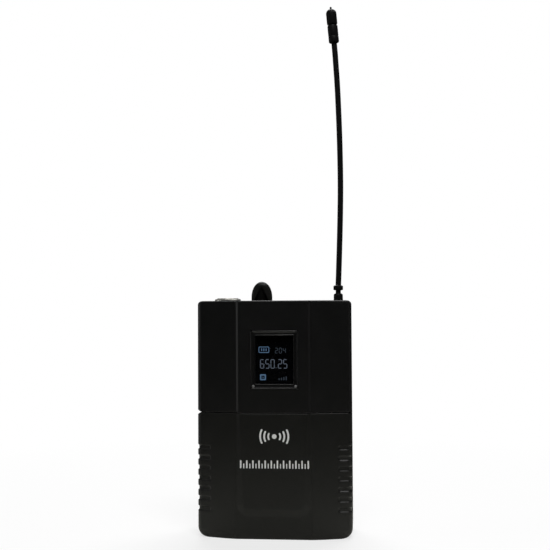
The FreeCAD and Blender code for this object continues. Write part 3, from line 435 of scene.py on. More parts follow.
def amberFilm(name):
    # flat cable: amber film with copper lines along it
    paint = Paint(name, Specular_IOR_Level=0.5)
    pitch = 0.8 * mm
    turn = paint.axes()[0] * (2 * math.pi / pitch)
    lines = turn.calc("SINE", turn)
    paint.shade(Base_Color=paint.mix(paint.spread(lines, -0.2, 0.2), (0.3, 0.13, 0.02), (0.5, 0.24, 0.06)),
                Roughness=0.3 + paint.noise(1) * 0.1)
    finishes[name] = paint.material


def glowInk(name, colour, strength):
    # lit segments behind the pane, a little uneven
    paint = Paint(name, Specular_IOR_Level=0.2, Roughness=0.5)
    cloud = paint.noise(1.2, 2)
    paint.shade(Base_Color=paint.mix(cloud, [part * 0.3 for part in colour], [part * 0.4 for part in colour]),
                Emission_Color=paint.mix(cloud * 0.5, colour, [part * 0.75 for part in colour]))
    paint.shader.inputs["Emission Strength"].default_value = strength
    finishes[name] = paint.material


def clearPane(name):
    # smoked pane: mostly see-through, with faint smears in its gloss
    paint = Paint(name, Base_Color=(0.002, 0.002, 0.003, 1), Alpha=0.25, Specular_IOR_Level=0.5)
    paint.shade(Roughness=0.05 + paint.noise(6, 3) ** 3 * 0.1)
    finishes[name] = paint.material


plastic("caseBlack", 0.003, 0.45, 0.28, 0.014, sheen=0.36)
plastic("coverBlack", 0.0045, 0.44, 0.28, 0.014, sheen=0.4, tint=(1, 1, 0.82))
plastic("plateBlack", 0.009, 0.4, 0.2, 0.008, sheen=0.45)
plastic("glossBlack", 0.006, 0.24, 0.8, 0.002, sheen=0.55, dust=0.15)
plastic("leverBlack", 0.014, 0.38, 0.6, 0.003, sheen=0.12, tint=(1, 1, 0.9), dust=0.3)
plastic("jacketBlack", 0.008, 0.45, 0.5, 0.004, sheen=0.08, dust=0.3)
plastic("insulatorBlack", 0.01, 0.45, 0.3, 0.006)
# pale grey for the bezel's corner pips: a painted glint, not the plastic's own colour
plastic("studGrey", 0.18, 0.3, 0.5, 0.002, sheen=0.5, dust=0.1)
plastic("keyGrey", 0.13, 0.45, 0.25, 0.008, tint=(1, 1, 1.03))
plastic("leadGrey", 0.03, 0.4, 0.4, 0.006)
plastic("displayDark", 0.0012, 0.25, 1.2, 0.001, sheen=0.3, tint=(0.8, 0.9, 1.3), dust=0.2)
plastic("printWhite", 0.9, 0.5, 0.18, 0.006, sheen=0.4, dust=0.0)
metal("nickel", (0.55, 0.54, 0.49), 0.33, tarnish=0.12)
metal("gold", (0.85, 0.6, 0.24), 0.22)
metal("springSteel", (0.5, 0.5, 0.48), 0.25, (1, 1, 0.15))
metal("screwBlack", (0.035, 0.035, 0.038), 0.38)
circuitBoard("boardGreen")
cellSleeve("cellSleeveUp", 57.0, -1)
cellSleeve("cellSleeveDown", 3.7, 1)
amberFilm("ribbonAmber")
glowInk("segmentPale", (0.3, 0.36, 0.46), 0.36)
glowInk("tagBlue", (0.22, 0.4, 0.66), 0.46)
glowInk("segmentDim", (0.1, 0.13, 0.17), 0.4)
clearPane("pane")

finishOfSlot = {
    "case_black": "caseBlack", "plate_black": "plateBlack", "gloss_black": "glossBlack",
    "display_glass": "pane", "display_face": "displayDark", "board_green": "boardGreen",
    "ribbon_amber": "ribbonAmber", "socket_nickel": "nickel", "contact_gold": "gold",
    "insulator_black": "insulatorBlack", "antenna_black": "jacketBlack", "lead_grey": "leadGrey",
    "bright_steel": "springSteel", "screw_black": "screwBlack", "cell_wrap": "cellSleeveUp",
    "key_grey": "keyGrey", "clip_black": "plateBlack",
}
print("finishes made:", len(finishes))


def wear(made, finish):
    made.data.materials.clear()
    made.data.materials.append(finishes[finish])


def standFor(made, node, finish=None):
    # the piece replaces the CAD node, rides on its body and takes its name and its slot's finish
    first, *others = node.split("_")
    made.name = made.data.name = first + "".join(word.title() for word in others)
    wear(made, finish or finishOfSlot[slotOf[node]])
    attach(made, bodyOf[node])
    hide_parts(node)


def addTo(made, name, body, finish):
    # a detail that no CAD node stands for
    made.name = made.data.name = name
    wear(made, finish)
    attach(made, body)


for node, made in frame["nodes"].items():
    wear(made, finishOfSlot[slotOf[node]])


case = {
    "half": 31, "parting": 2, "wingY": -8.2, "frontY": -11.2, "height": 94.5, "wall": 1.8, "wingRound": 2.2,
    "topRound": 1.7, "bottomRound": 4, "rim": 0.5, "partingEdge": 0.22, "mouthHalf": 28.6, "mouthY": -6.6,
    # the raised band, whose edges are wider slopes below the seam and widest at the foot
    "bandHalf": 14.9, "bandRise": 0.8, "bandFoot": 9, "bandRound": 5.5, "bandSlope": 0.95,
    "bandCoverSlope": 0.5, "bandSoft": 1.4, "bandFade": 32,
    "seamLow": 49.7, "seamHigh": 50, "seamEdge": 0.3, "notchDeep": 1.6, "notchHalf": 0.9,
    # the surface's rows lie close together from the seam up to here, past the notch
    "fineTop": 51.4,
    # the finger grooves on both sides of the cover
    "grooveLow": 11.5, "groovePitch": 4.06, "grooveCount": 7, "grooveHalf": 1.0, "grooveDeep": 0.45,
    "grooveWall": 0.35, "grooveEnd": 25.4,
    # the lip that tucks behind the cover, and the bosses the case screws run into
    "lipHalf": 12.9, "lipY": (-9.1, -8.1), "lipZ": (47.5, 52), "bossBore": 1.25, "bossRadius": 2.7,
    "bossFront": -7.2, "screwX": (-25.4, 25.4), "screwZ": (66, 78),
    # the cover's lower rim and its two inner rails
    "coverRim": 0.6, "railX": (-28.6, 27.4), "railWide": 1.2, "railY": (-6.6, 4), "railZ": (1.4, 46),
}


def caseSection(shape, extra):
    # the case's outline seen from above, from the right parting edge round the front to the left one:
    # x, y, the outward normal and the distance from the nearer parting edge of each column
    foot = shape["bandHalf"] + 0.6
    corners = [(shape["half"], shape["parting"]), (shape["half"], shape["wingY"]), (foot, shape["frontY"]),
               (0, shape["frontY"])]
    path = roundCorners(corners, (0, shape["wingRound"], 0, 0), 8)
    length = np.append(0, np.cumsum(np.hypot(*np.diff(path, axis=0).T)))
    sideEnd = length[1]
    onFront = path[:, 0] < path[-2, 0] + 14
    fromX = lambda x: np.interp(-np.array(x, float), -path[onFront, 0], length[onFront])
    x = np.concatenate([np.arange(29, 24.2, -0.24), np.arange(24, 16.2, -1.1), np.arange(16, 13.6, -0.12),
                        np.arange(13.5, 8.6, -0.25), np.arange(8, 0, -1.0), extra, [0]])
    edge = shape["partingEdge"]
    side = np.concatenate([[0, edge * 0.3, edge * 0.7, edge], np.linspace(edge * 2, sideEnd, 7)])
    share = np.unique(np.round(np.concatenate([side, length[1:-2], fromX(x)]), 5))
    half = np.stack([np.interp(share, length, path[:, 0]), np.interp(share, length, path[:, 1])], axis=1)
    mirrored = half[-2::-1] * (-1, 1)
    section = np.concatenate([half, mirrored])
    share = np.concatenate([share, share[-2::-1]])
    along = np.gradient(section, axis=0)
    normal = np.stack([-along[:, 1], along[:, 0]], axis=1)
    normal = normal / np.hypot(*normal.T)[:, None]
    normal[[0, -1]] = (1, 0), (-1, 0)
    return section[:, 0], section[:, 1], normal, share, float(fromX([shape["grooveEnd"]])[0])


def caseSurface(shape, columns, rows):
    # each row gives z, inset, pull towards the parting face, share towards the top mouth, and 1 outside:
    # the section is raised by the band, sunk by the grip grooves and inset along its normal, then
    # squeezed sideways into the round corners and clipped by the notches at the seam
    x, y, normal, share, grooveEnd = columns
    z, inset, pull, mouth, outside = (rows[:, k:k + 1] for k in range(5))
    radius = shape["bandRound"]
    beyondX = np.abs(x)[None] - (shape["bandHalf"] - radius)
    beyondZ = shape["bandFoot"] + radius - z
    cornered = np.hypot(np.maximum(beyondX, 0), np.maximum(beyondZ, 0))
    inBand = radius - cornered - np.minimum(np.maximum(beyondX, beyondZ), 0)
    soften = np.clip((shape["seamLow"] - z) / shape["bandFade"], 0, 1)
    softer = shape["bandCoverSlope"] + shape["bandSoft"] * soften
    slope = shape["bandSlope"] + (z < shape["seamLow"]) * softer
    rise = shape["bandRise"] * smoothStep(inBand / slope, 0.01)
    nearest = np.clip(np.round((z - shape["grooveLow"]) / shape["groovePitch"]), 0, shape["grooveCount"] - 1)
    across = z - shape["grooveLow"] - nearest * shape["groovePitch"]
    past = np.maximum(share[None] - (grooveEnd - shape["grooveHalf"]), 0)
    inGroove = shape["grooveHalf"] - np.hypot(past, across)
    groove = shape["grooveDeep"] * smoothStep(inGroove / shape["grooveWall"], 0.02) * (z < shape["seamLow"])
    edge = shape["partingEdge"]
    soft = edge * (1 - np.sqrt(1 - np.clip(1 - share[None] / edge, 0, 1) ** 2))
    off = outside * (rise - groove - soft) - inset
    px = x[None] + normal[None, :, 0] * off
    py = y[None] + normal[None, :, 1] * off
    for radius, above in ((shape["bottomRound"], z), (shape["topRound"], shape["height"] - z)):
        deep = np.clip(radius - above, 0, radius)
        squeeze = radius - np.sqrt(radius ** 2 - deep ** 2)
        px = px - np.sign(px) * squeeze * np.clip((np.abs(px) - 20) / 11, 0, 1)
    seam = (shape["seamLow"] + shape["seamHigh"]) / 2
    notch = shape["notchDeep"] * np.clip(1 - np.abs(z - seam) / shape["notchHalf"], 0, 1)
    reach = shape["half"] - notch * outside
    px = np.clip(px, -reach, reach)
    py = shape["parting"] + (py - shape["parting"]) * (1 - pull)
    mouthX = np.clip(px, -shape["mouthHalf"], shape["mouthHalf"])
    onSide = np.abs(x)[None] > shape["half"] - 0.01
    mouthY = np.where(onSide, np.maximum(py, shape["mouthY"]), shape["mouthY"])
    px = px + (mouthX - px) * mouth
    py = py + (mouthY - py) * mouth
    return np.stack([px, py, np.broadcast_to(z, px.shape)], axis=-1)


def shellMesh(points, window=None):
    # rows run up the outside and down the inside; window gives its outer rows, inner rows and columns
    count = points.shape[1]
    index = np.arange(points.shape[0] * count).reshape(-1, count)
    after = np.roll(index, -1, axis=0)
    quads = np.stack([index[:, :-1], index[:, 1:], after[:, 1:], after[:, :-1]], axis=-1)
    kept = np.ones(quads.shape[:2], bool)
    walls = []
    if window:
        (low, high), (inHigh, inLow), (left, right) = window
        kept[low:high, left:right] = False
        kept[inHigh:inLow, left:right] = False
        outer = index[low:high + 1, left:right + 1]
        inner = index[inHigh:inLow + 1, left:right + 1][::-1]
        rims = [np.concatenate([k[0, :-1], k[:-1, -1], k[-1, :0:-1], k[:0:-1, 0]]) for k in (outer, inner)]
        walls = np.stack([rims[0], np.roll(rims[0], -1), np.roll(rims[1], -1), rims[1]], axis=-1).tolist()
    faces = quads[kept].tolist() + walls + [index[:, 0].tolist(), index[:, -1].tolist()]
    return finishMesh(newObject(points.reshape(-1, 3), faces), 32)


def rowsOf(z, inset=0.0, pull=0.0, mouth=0.0, outside=1.0):
    # rows of a shell with the same settings, one for each height
    z = np.atleast_1d(np.asarray(z, float))
    return np.stack([np.broadcast_to(k, z.shape) for k in (z, inset, pull, mouth, outside)], axis=1)


def roundRows(z, radius, rising, outside=1.0):
    # a quarter round of the outer edge at height z, from the flat end to the wall when rising
    turn = np.linspace(0, math.pi / 2, 5)
    rise, inset = radius * (1 - np.cos(turn)), radius * (1 - np.sin(turn))
    if rising:
        return rowsOf(z + rise, inset, 0, 0, outside)
    return rowsOf((z - rise)[::-1], inset[::-1], 0, 0, outside)


def makeFrontShell(shape):
    low, high = nodeBox("display_bezel")
    left, right, bottom, top = low[0] - 0.1, high[0] + 0.1, low[2] - 0.1, high[2] + 0.1
    columns = caseSection(shape, [abs(left), abs(right)])
    edge, wall, ceiling = shape["seamEdge"], shape["wall"], shape["height"] - shape["wall"]
    opening = np.linspace(bottom, top, 18)
    lower = np.concatenate([np.arange(shape["seamHigh"] + edge + 0.1, shape["fineTop"], 0.1),
                            np.linspace(shape["fineTop"] + 0.2, bottom - 0.6, 6)])
    upper = np.linspace(top + 0.6, shape["height"] - shape["topRound"], 6)
    corner = np.linspace(upper[-1] + 0.15, shape["height"] - shape["rim"] - 0.05, 8)
    parts = [
        roundRows(shape["seamHigh"], edge, True), rowsOf(lower), rowsOf(opening), rowsOf(upper),
        rowsOf(corner), roundRows(shape["height"], shape["rim"], False),
        rowsOf([shape["height"]] * 3, shape["rim"], 0, [0.3, 0.7, 1]), rowsOf(ceiling, shape["rim"], 0, 1),
        rowsOf(ceiling, wall, 0, 0, 0), rowsOf(opening[::-1], wall, 0, 0, 0),
        rowsOf(shape["seamHigh"], wall, 0, 0, 0)]
    starts = np.cumsum([0] + [len(part) for part in parts])
    points = caseSurface(shape, columns, np.concatenate(parts))
    x = columns[0]
    across = sorted((int(np.argmin(abs(x - right))), int(np.argmin(abs(x - left)))))
    outer, inner = (starts[2], starts[3] - 1), (starts[9], starts[10] - 1)
    shell = shellMesh(points, (outer, inner, across))
    lip = roundedBox(-shape["lipHalf"], shape["lipHalf"], *shape["lipY"], 0.3)
    pieces = [shell, slab(lip, "XY", *shape["lipZ"], 0.2)]
    bore, outer, back, front = shape["bossBore"], shape["bossRadius"], shape["parting"], shape["bossFront"]
    ring = [(bore, back), (outer, back), (outer, front), (bore, front)]
    pieces += [lathe(ring, (x, 0, z), "Y", 32, True)
               for x in shape["screwX"] for z in shape["screwZ"]]
    standFor(joined(pieces), "front_shell")


def makeCover(shape):
    columns = caseSection(shape, [])
    edge, rim, wall = shape["seamEdge"], shape["coverRim"], shape["wall"]
    heights = np.arange(rim + 0.1, shape["seamLow"] - edge - 0.05, 0.2)
    rows = np.concatenate([
        rowsOf([0, 0], rim, [1, 0.5]), roundRows(0, rim, True), rowsOf(heights),
        roundRows(shape["seamLow"], edge, False),
        rowsOf([shape["seamLow"], 30, 10, wall], wall, 0, 0, 0), rowsOf([wall, wall], wall, [0.5, 1], 0, 0)])
    shell = shellMesh(caseSurface(shape, columns, rows))
    rails = [slab(roundedBox(x, x + shape["railWide"], *shape["railY"], 0.25), "XY",
                  *shape["railZ"], 0.25) for x in shape["railX"]]
    standFor(joined([shell] + rails), "battery_cover", "coverBlack")


makeFrontShell(case)
makeCover(case)

softEdges = {  # CAD pieces that keep their shape, with the round on their edges
    "rear_shell": 0.25, "top_plate": 0.3, "battery_tray": 0.25, "key_panel": 0.2, "belt_clip": 0.5,
    "clip_bracket": 0.3, "switch_housing": 0.15, "rf_shield": 0.12, "mic_socket_insert": 0.1,
    "clip_pin": 0.25, "clip_spring": 0, "antenna_bush": 0.1, "antenna_nut": 0.2, "antenna_lead": 0,
    "key_switches": 0.2, "bridge_spring": 0, "negative_spring": 0, "switch_pivot": 0.1,
    "mic_socket_pins": 0.1, "switch_terminals": 0.05, "bridge_contact": 0.05, "positive_contact": 0.05,
    "negative_contact": 0.05, "main_board": 0.08, "display_board": 0.06, "key_board": 0.06,
}
for node, edge in softEdges.items():
    standFor(softCopy(node, edge), node)
print("case shells and the finished CAD pieces made")


bezel = {"round": 0.9, "innerRound": 0.35, "bead": 0.22, "innerBead": 0.16, "slope": 1.9, "sunk": 0.28,
         "innerSunk": 0.3, "back": 1.7, "pip": 0.58, "pipIn": 1.05, "pipUp": 1.0}


def makeBezel(shape):
    # rectangular rings inset step by step: up the outer wall, over a bead, along a shallow trough, over
    # the smaller bead at the opening and back, with a round pip on each lower corner whose pale grey is a
    # painted glint
    low, high = nodeBox("display_bezel")
    front, bead, small = low[1], shape["bead"], shape["innerBead"]
    turn = np.radians(np.linspace(180, 0, 9))
    trough = front + shape["sunk"]
    profile = [(0, front + shape["back"])]
    profile += [(bead + bead * math.cos(a), front + bead - bead * math.sin(a)) for a in turn]
    profile += [(2 * bead + 0.04, trough + 0.03), (2 * bead + 0.2, trough + 0.1)]
    middle, inner = shape["slope"] - small, trough + shape["innerSunk"]
    profile += [(middle - small - 0.16, inner + 0.02)]
    profile += [(middle + small * math.cos(a), inner - small * math.sin(a)) for a in turn]
    profile += [(shape["slope"], front + shape["back"])]
    rings, heights = [], []
    for inset, y in profile:
        corner = shape["round"] + (shape["innerRound"] - shape["round"]) * inset / shape["slope"]
        rings.append(roundedBox(low[0] + inset, high[0] - inset, low[2] + inset, high[2] - inset, corner))
        heights.append(y)
    standFor(stack(rings, heights, "XZ", True, 40), "display_bezel")
    # two low domes in pale grey that paint the glints on the bezel's lower corners
    arc = np.radians(np.linspace(0, 85, 8))
    reach = shape["pip"]
    dome = [(0, -0.4), (reach, -0.4)] + [(reach * math.cos(a), reach * 0.7 * math.sin(a)) for a in arc]
    profile = [(r, -h) for r, h in dome] + [(0, -reach * 0.7)]
    glintPips = [lathe(profile, (x, trough + 0.16, low[2] + shape["pipUp"]), "Y", 24, False)
            for x in (low[0] + shape["pipIn"], high[0] - shape["pipIn"])]
    addTo(joined(glintPips), "bezelPips", "case", "studGrey")


digits = {"0": "abcdef", "1": "bc", "2": "abged", "3": "abgcd", "4": "fgbc", "5": "afgcd", "6": "afgecd",
          "7": "abc", "8": "abcdefg", "9": "abcdfg"}
screen = {
    "backY": -9.4, "frontY": -9.46,
    # text, left, foot, digit width and height, stroke, pitch and the dot's pitch
    "number": ("650.25", -5.25, 67.5, 1.35, 3.4, 0.34, 2.1, 0.85),
    "channel": ("204", 0.7, 73.5, 0.95, 2.0, 0.26, 1.6, 0.6),
    # the signal bars, each a little taller and higher than the one before
    "signalLeft": 2.2, "signalPitch": 0.95, "signalMiddle": 63.1, "signalBars": 4, "signalTall": 0.9,
    "signalGrow": 0.25, "signalRise": 0.12, "signalWide": 0.45,
    # left, right, foot, top, corner and frame width of the two tags
    "tags": ((-6.0, -1.7, 73.6, 76.1, 0.5, 0.3), (-5.45, -3.05, 62.7, 65.1, 0.4, 0.55)),
    # the bars in the upper tag, and the short stroke in the lower one
    "levelLeft": -4.75, "levelPitch": 0.9, "levelMiddle": 74.85, "levelBars": 3, "levelTall": 1.2,
    "levelWide": 0.38, "tagStroke": (-4.25, 63.9, 0.5, 0.4, 0),
}


def segmentMarks(text, left, low, wide, high, stroke, pitch, dotPitch):
    # seven-segment strokes of a number: across the top, middle and foot, and up both sides
    marks = []
    for letter in text:
        if letter == ".":
            marks.append((left - 0.1, low + stroke / 2, stroke, stroke, 0))
            left += dotPitch
            continue
        mid, up = left + wide / 2, high / 2
        spots = {"a": (mid, low + high, 0), "g": (mid, low + up, 0), "d": (mid, low, 0),
                 "b": (left + wide, low + up * 1.5, 90), "c": (left + wide, low + up / 2, 90),
                 "e": (left, low + up / 2, 90), "f": (left, low + up * 1.5, 90)}
        for part in digits[letter]:
            x, z, angle = spots[part]
            marks.append((x, z, (up if angle else wide) - stroke * 0.35, stroke, angle))
        left += pitch
    return marks


def makeScreen(shape):
    for node, corner, trim, edge in (("display_window", 0.3, 0.25, 0.1), ("display_module", 0.4, 0, 0.15)):
        low, high = nodeBox(node)
        outline = roundedBox(low[0], high[0], low[2], high[2], corner)
        standFor(slab(outline, "XZ", low[1], high[1] - trim, edge), node)
    back, front = shape["backY"], shape["frontY"]
    large = segmentMarks(*shape["number"])
    addTo(bars(large, front, back), "screenNumber", "case", "segmentPale")
    small = segmentMarks(*shape["channel"])
    for step in range(shape["signalBars"]):
        small.append((shape["signalLeft"] + step * shape["signalPitch"],
                      shape["signalMiddle"] + step * shape["signalRise"],
                      shape["signalTall"] + step * shape["signalGrow"], shape["signalWide"], 90))
    addTo(bars(small, front, back), "screenDimMarks", "case", "segmentDim")
    frames = []
    for *sides, corner, width in shape["tags"]:
        outer = roundedBox(*sides, corner)
        inner = insetRing(outer, width)
        frames.append(stack([outer, outer, inner, inner], [back, front, front, back], "XZ", True))
    levels = [(shape["levelLeft"] + step * shape["levelPitch"], shape["levelMiddle"], shape["levelTall"],
               shape["levelWide"], 90) for step in range(shape["levelBars"])]
    frames.append(bars([*levels, shape["tagStroke"]], front, back))
    addTo(joined(frames), "screenTags", "case", "tagBlue")


mark = {"centreX": 0.35, "waveZ": 40.7, "dotRadius": 0.95, "waveRadii": (2.4, 4.0, 5.6), "waveWide": 0.72,
        "waveHalfAngle": 27, "scaleZ": 29.7, "scaleHalf": 13.4, "ticks": 23, "tallTick": (3.3, 0.6),
        "shortTick": (2.0, 0.42), "proud": 0.04}


def makePrint(shape):
    # a radio-wave sign over a tuning scale, printed a hair proud of the cover
    face = nodeBox("battery_cover")[0][1]
    back, front = face + 0.03, face - shape["proud"]
    spot = (shape["centreX"], shape["waveZ"])
    turn = np.linspace(0, 2 * math.pi, 29)[:-1]
    disc = np.stack([np.cos(turn), np.sin(turn)], axis=1) * shape["dotRadius"]
    parts = [slab(disc + np.array(spot), "XZ", front, back, 0.01)]
    spread = shape["waveHalfAngle"]
    for radius in shape["waveRadii"]:
        for middle in (0, 180):
            parts.append(arcStroke(spot, radius, shape["waveWide"], middle - spread, middle + spread,
                                   front, back))
    along = np.linspace(-shape["scaleHalf"], shape["scaleHalf"], shape["ticks"])
    tall = np.arange(shape["ticks"]) % 2 == 0
    length, width = [np.where(tall, *pair) for pair in zip(shape["tallTick"], shape["shortTick"])]
    foot = shape["scaleZ"] - shape["tallTick"][0] / 2
    ticks = np.stack([shape["centreX"] + along, foot + length / 2, length, width,
                      np.full(len(along), 90.0)], axis=1)
    parts.append(bars(ticks, front, back))
    addTo(joined(parts), "coverPrint", "cover", "printWhite")


lever = {"half": 4.25, "shoulder": 95.8, "faceLow": 90.0, "power": 3.0, "crownRound": 2.0,
         "wedgeTop": 100.9, "wedgeFoot": 94.3, "wedgeDeep": 2.1, "wedgeHalf": 3.0,
         "eyeBore": 0.86, "eyeRadius": 2.3, "eyeEdge": 0.2}


def makeLever(shape):
    # rounded-box sections that close in an elliptical dome above the shoulder, with a wedge in the
    # front and back that sinks deeper towards its foot
    low, high = nodeBox("switch_lever")
    middle, top, hub = (low[0] + high[0]) / 2, high[2], nodeBox("switch_pivot")
    pivotZ = (hub[0][2] + hub[1][2]) / 2
    share = np.sin(np.linspace(0, math.pi / 2, 30)) * 0.9995
    straight = np.linspace(shape["faceLow"], shape["shoulder"], 22)[:-1]
    z = np.concatenate([straight, shape["shoulder"] + (top - shape["shoulder"]) * share])[:, None]
    over = np.clip((z - shape["shoulder"]) / (top - shape["shoulder"]), 0, 1)
    wide = shape["half"] * (1 - over ** 2.1) ** 0.5
    past = np.clip((z - (top - shape["crownRound"])) / shape["crownRound"], 0, 1)
    deep = high[1] - shape["crownRound"] * (1 - np.sqrt(1 - past ** 2))
    angle = np.linspace(0, 2 * math.pi, 161)[:-1][None]
    power = 2 / shape["power"]
    x = wide * np.sign(np.cos(angle)) * np.abs(np.cos(angle)) ** power
    y = deep * np.sign(np.sin(angle)) * np.abs(np.sin(angle)) ** power
    fall = np.clip((shape["wedgeTop"] - z) / (shape["wedgeTop"] - shape["wedgeFoot"]), 0, 1.2)
    inside = smoothStep((shape["wedgeHalf"] * fall - np.abs(x)) / 0.35)
    y = y - np.sign(y) * np.minimum(shape["wedgeDeep"] * fall * inside, np.abs(y))
    blade = ringsMesh(np.stack([middle + x, y, np.broadcast_to(z, x.shape)], axis=-1), 40)
    half, bore, outer, edge = shape["half"], shape["eyeBore"], shape["eyeRadius"], shape["eyeEdge"]
    ring = [(bore, -half), (outer - edge, -half), (outer, edge - half), (outer, half - edge),
            (outer - edge, half), (bore, half)]
    eye = lathe(ring, (middle, 0, pivotZ), "X", 48, True)
    standFor(joined([blade, eye]), "switch_lever", "leverBlack")


socket = {"wall": 0.7, "gap": 0.05, "ridges": 36, "ridgeDeep": 0.1, "plateThick": 2.0, "flangeThick": 1.4}


def makeSocket(shape):
    # a knurled nut and a thin barrel with a rolled lip, both closed rings turned round the same axis
    low, high = nodeBox("mic_socket_nut")
    spot = ((low[0] + high[0]) / 2, 0, 0)
    bottom, top, radius = low[2], high[2], high[0] - spot[0]

    def knurl(angle, r, high):
        ridge = shape["ridgeDeep"] * np.abs(((angle * shape["ridges"] / (2 * math.pi)) % 1) - 0.5) * 2
        outer = (r > radius - 0.05) & (high > bottom + 0.2) & (high < top - 0.3)
        return r - np.where(outer, ridge, 0), high

    shell = nodeBox("mic_socket_barrel")
    insert = nodeBox("mic_socket_insert")
    lip, flange = shell[1][2], bottom - shape["plateThick"]
    foot = flange - shape["flangeThick"]
    bore, wide = insert[1][0] - spot[0], shell[1][0] - spot[0]
    outer = bore + shape["wall"]
    inner = outer + shape["gap"]
    ring = [(inner, bottom), (radius - 0.2, bottom), (radius, bottom + 0.1), (radius, bottom + 0.21),
            (radius, top - 0.36), (radius, top - 0.28), (radius - 0.2, top - 0.06), (radius - 0.4, top),
            (outer + 0.3, top), (outer + 0.12, top - 0.08), (inner, top - 0.25)]
    standFor(lathe(ring, spot, "Z", 144, True, 25, knurl), "mic_socket_nut")
    wall = [(bore, shell[0][2]), (outer, shell[0][2]), (outer, foot), (wide - 0.1, foot),
            (wide, foot + 0.1), (wide, flange), (outer, flange), (outer, lip - 0.2),
            (outer - 0.12, lip - 0.04), (outer - 0.25, lip), (bore + 0.25, lip), (bore + 0.1, lip - 0.08),
            (bore, lip - 0.3), (bore, lip - 2), (bore + 0.12, lip - 2.2), (bore, lip - 2.4)]
    standFor(lathe(wall, spot, "Z", 96, True, 25), "mic_socket_barrel")


whip = {"lean": ((0.05, 0), (1.3, 0.3), (1.2, 0.56), (0.4, 0.8), (-0.25, 0.9), (-0.55, 0.95), (-1.0, 1)),
        "tip": 201.5, "foot": 100.65, "inSleeve": 1.0, "sleeveLong": 7.2, "capGap": 0.4, "capLong": 6.4,
        "nubLong": 0.95, "radius": 1.15}


def makeAntenna(shape):
    # foot with bead, neck and collar, the leaning whip, and the two-part tip set along its last stretch
    low, high = nodeBox("antenna_boot")
    x, bottom = (low[0] + high[0]) / 2, low[2]
    profile = [(0, 0), (1.86, 0), (1.9, 0.08), (1.88, 0.9), (1.87, 1.7), (1.85, 2.35), (1.76, 2.68),
               (1.5, 2.88), (1.2, 3.0), (1.07, 3.12), (1.05, 3.4), (1.05, 4.1), (1.12, 4.25), (1.6, 4.34),
               (1.88, 4.46), (1.95, 4.7), (1.95, 5.75), (1.9, 6.05), (1.7, 6.22), (1.3, 6.3), (0, 6.3)]
    standFor(lathe(profile, (x, 0, bottom), "Z", 56, False, 50), "antenna_boot")
    rise = shape["tip"] - shape["foot"]
    route = [(x + dx, 0, shape["foot"] + rise * share) for dx, share in shape["lean"]]
    standFor(tube(smoothPath(route, 16), shape["radius"], (0, 1, 0), 28), "antenna_whip")
    ahead = np.array(route[-1]) - np.array(route[-2])
    ahead = ahead / np.linalg.norm(ahead)
    lean = math.atan2(ahead[0], ahead[2])
    foot = np.array(route[-1]) - ahead * shape["inSleeve"]
    long = shape["sleeveLong"]
    sleeve = [(1.15, 0.05), (1.65, 0), (1.95, 0.1), (2.1, 0.4), (2.1, 2.4), (2.03, 2.55), (2.03, 2.75),
              (2.1, 2.9), (2.1, long - 0.45), (1.98, long - 0.12), (1.7, long), (0.5, long),
              (0.5, 1.05), (1.15, 1.0)]
    standFor(lathe(sleeve, foot, "Z", 48, True, 40, None, lean), "antenna_tip_sleeve")
    neck = foot + ahead * long
    gap, cap, nub = shape["capGap"], shape["capLong"], shape["nubLong"]
    turn = np.radians(np.linspace(0, 84, 9))
    dome = [(0.25 + 1.9 * math.cos(a), gap + cap - 1.9 + 1.9 * math.sin(a)) for a in turn]
    profile = [(0, 0), (1.65, 0), (1.65, gap), (2.0, gap + 0.05), (2.15, gap + 0.3), (2.15, gap + cap - 2.1)]
    profile += dome + [(0.4, gap + cap), (0.4, gap + cap + nub - 0.12), (0.3, gap + cap + nub - 0.01),
                       (0, gap + cap + nub)]
    standFor(lathe(profile, neck, "Z", 48, False, 45, None, lean), "antenna_tip_cap")


def crossHead(centre, radius, thick, shankRadius, shankLong, outward):
    # a domed screw head on a plain shank along Y, with a cross recess sunk in the head
    steps = [0, 0.12, 0.24, 0.36, 0.5, 0.7, 0.9, 1.1, 1.25, 1.4, 1.55, 1.75, 2.0]
    top = [(r, thick - 0.25 * (r / radius) ** 2) for r in steps if r < radius - 0.2]
    profile = top + [(radius - 0.1, thick - 0.3), (radius, thick - 0.45), (radius, 0), (shankRadius, 0),
                     (shankRadius, -shankLong), (0, -shankLong)]
    reach = radius * 0.62

    def recess(angle, r, high):
        u, v = np.abs(r * np.cos(angle)), np.abs(r * np.sin(angle))
        arm = np.maximum(np.minimum(1 - v / 0.3, 1 - u / reach), np.minimum(1 - u / 0.3, 1 - v / reach))
        sunk = np.where(high > thick - 0.27, 0.6 * smoothStep(arm * 2.5), 0)
        return r, (high - sunk) * outward

    return lathe(profile, centre, "Y", 72, False, 35, recess)


screws = {"shank": 1.2, "caseHead": 2.3, "head": 2.4, "thick": 1.0, "bracketThick": 0.9, "bracketLong": 1.2,
          "bracketZ": (69.5, 85), "trayX": (-19.25, 19.25), "trayZ": 13}


def makeScrews(shape):
    shank, head, thick = shape["shank"], shape["head"], shape["thick"]
    low, high = nodeBox("case_screws")
    seat = high[1] - thick
    made = [crossHead((x, seat, z), shape["caseHead"], thick, shank, seat - low[1], 1)
            for x in case["screwX"] for z in case["screwZ"]]
    standFor(joined(made), "case_screws")
    seat = nodeBox("bracket_screws")[1][1] - shape["bracketThick"]
    made = [crossHead((0, seat, z), head, shape["bracketThick"], shank, shape["bracketLong"], 1)
            for z in shape["bracketZ"]]
    standFor(joined(made), "bracket_screws")
    low, high = nodeBox("tray_screws")
    seat = low[1] + thick
    made = [crossHead((x, seat, shape["trayZ"]), head, thick, shank, high[1] - seat, -1)
            for x in shape["trayX"]]
    standFor(joined(made), "tray_screws")


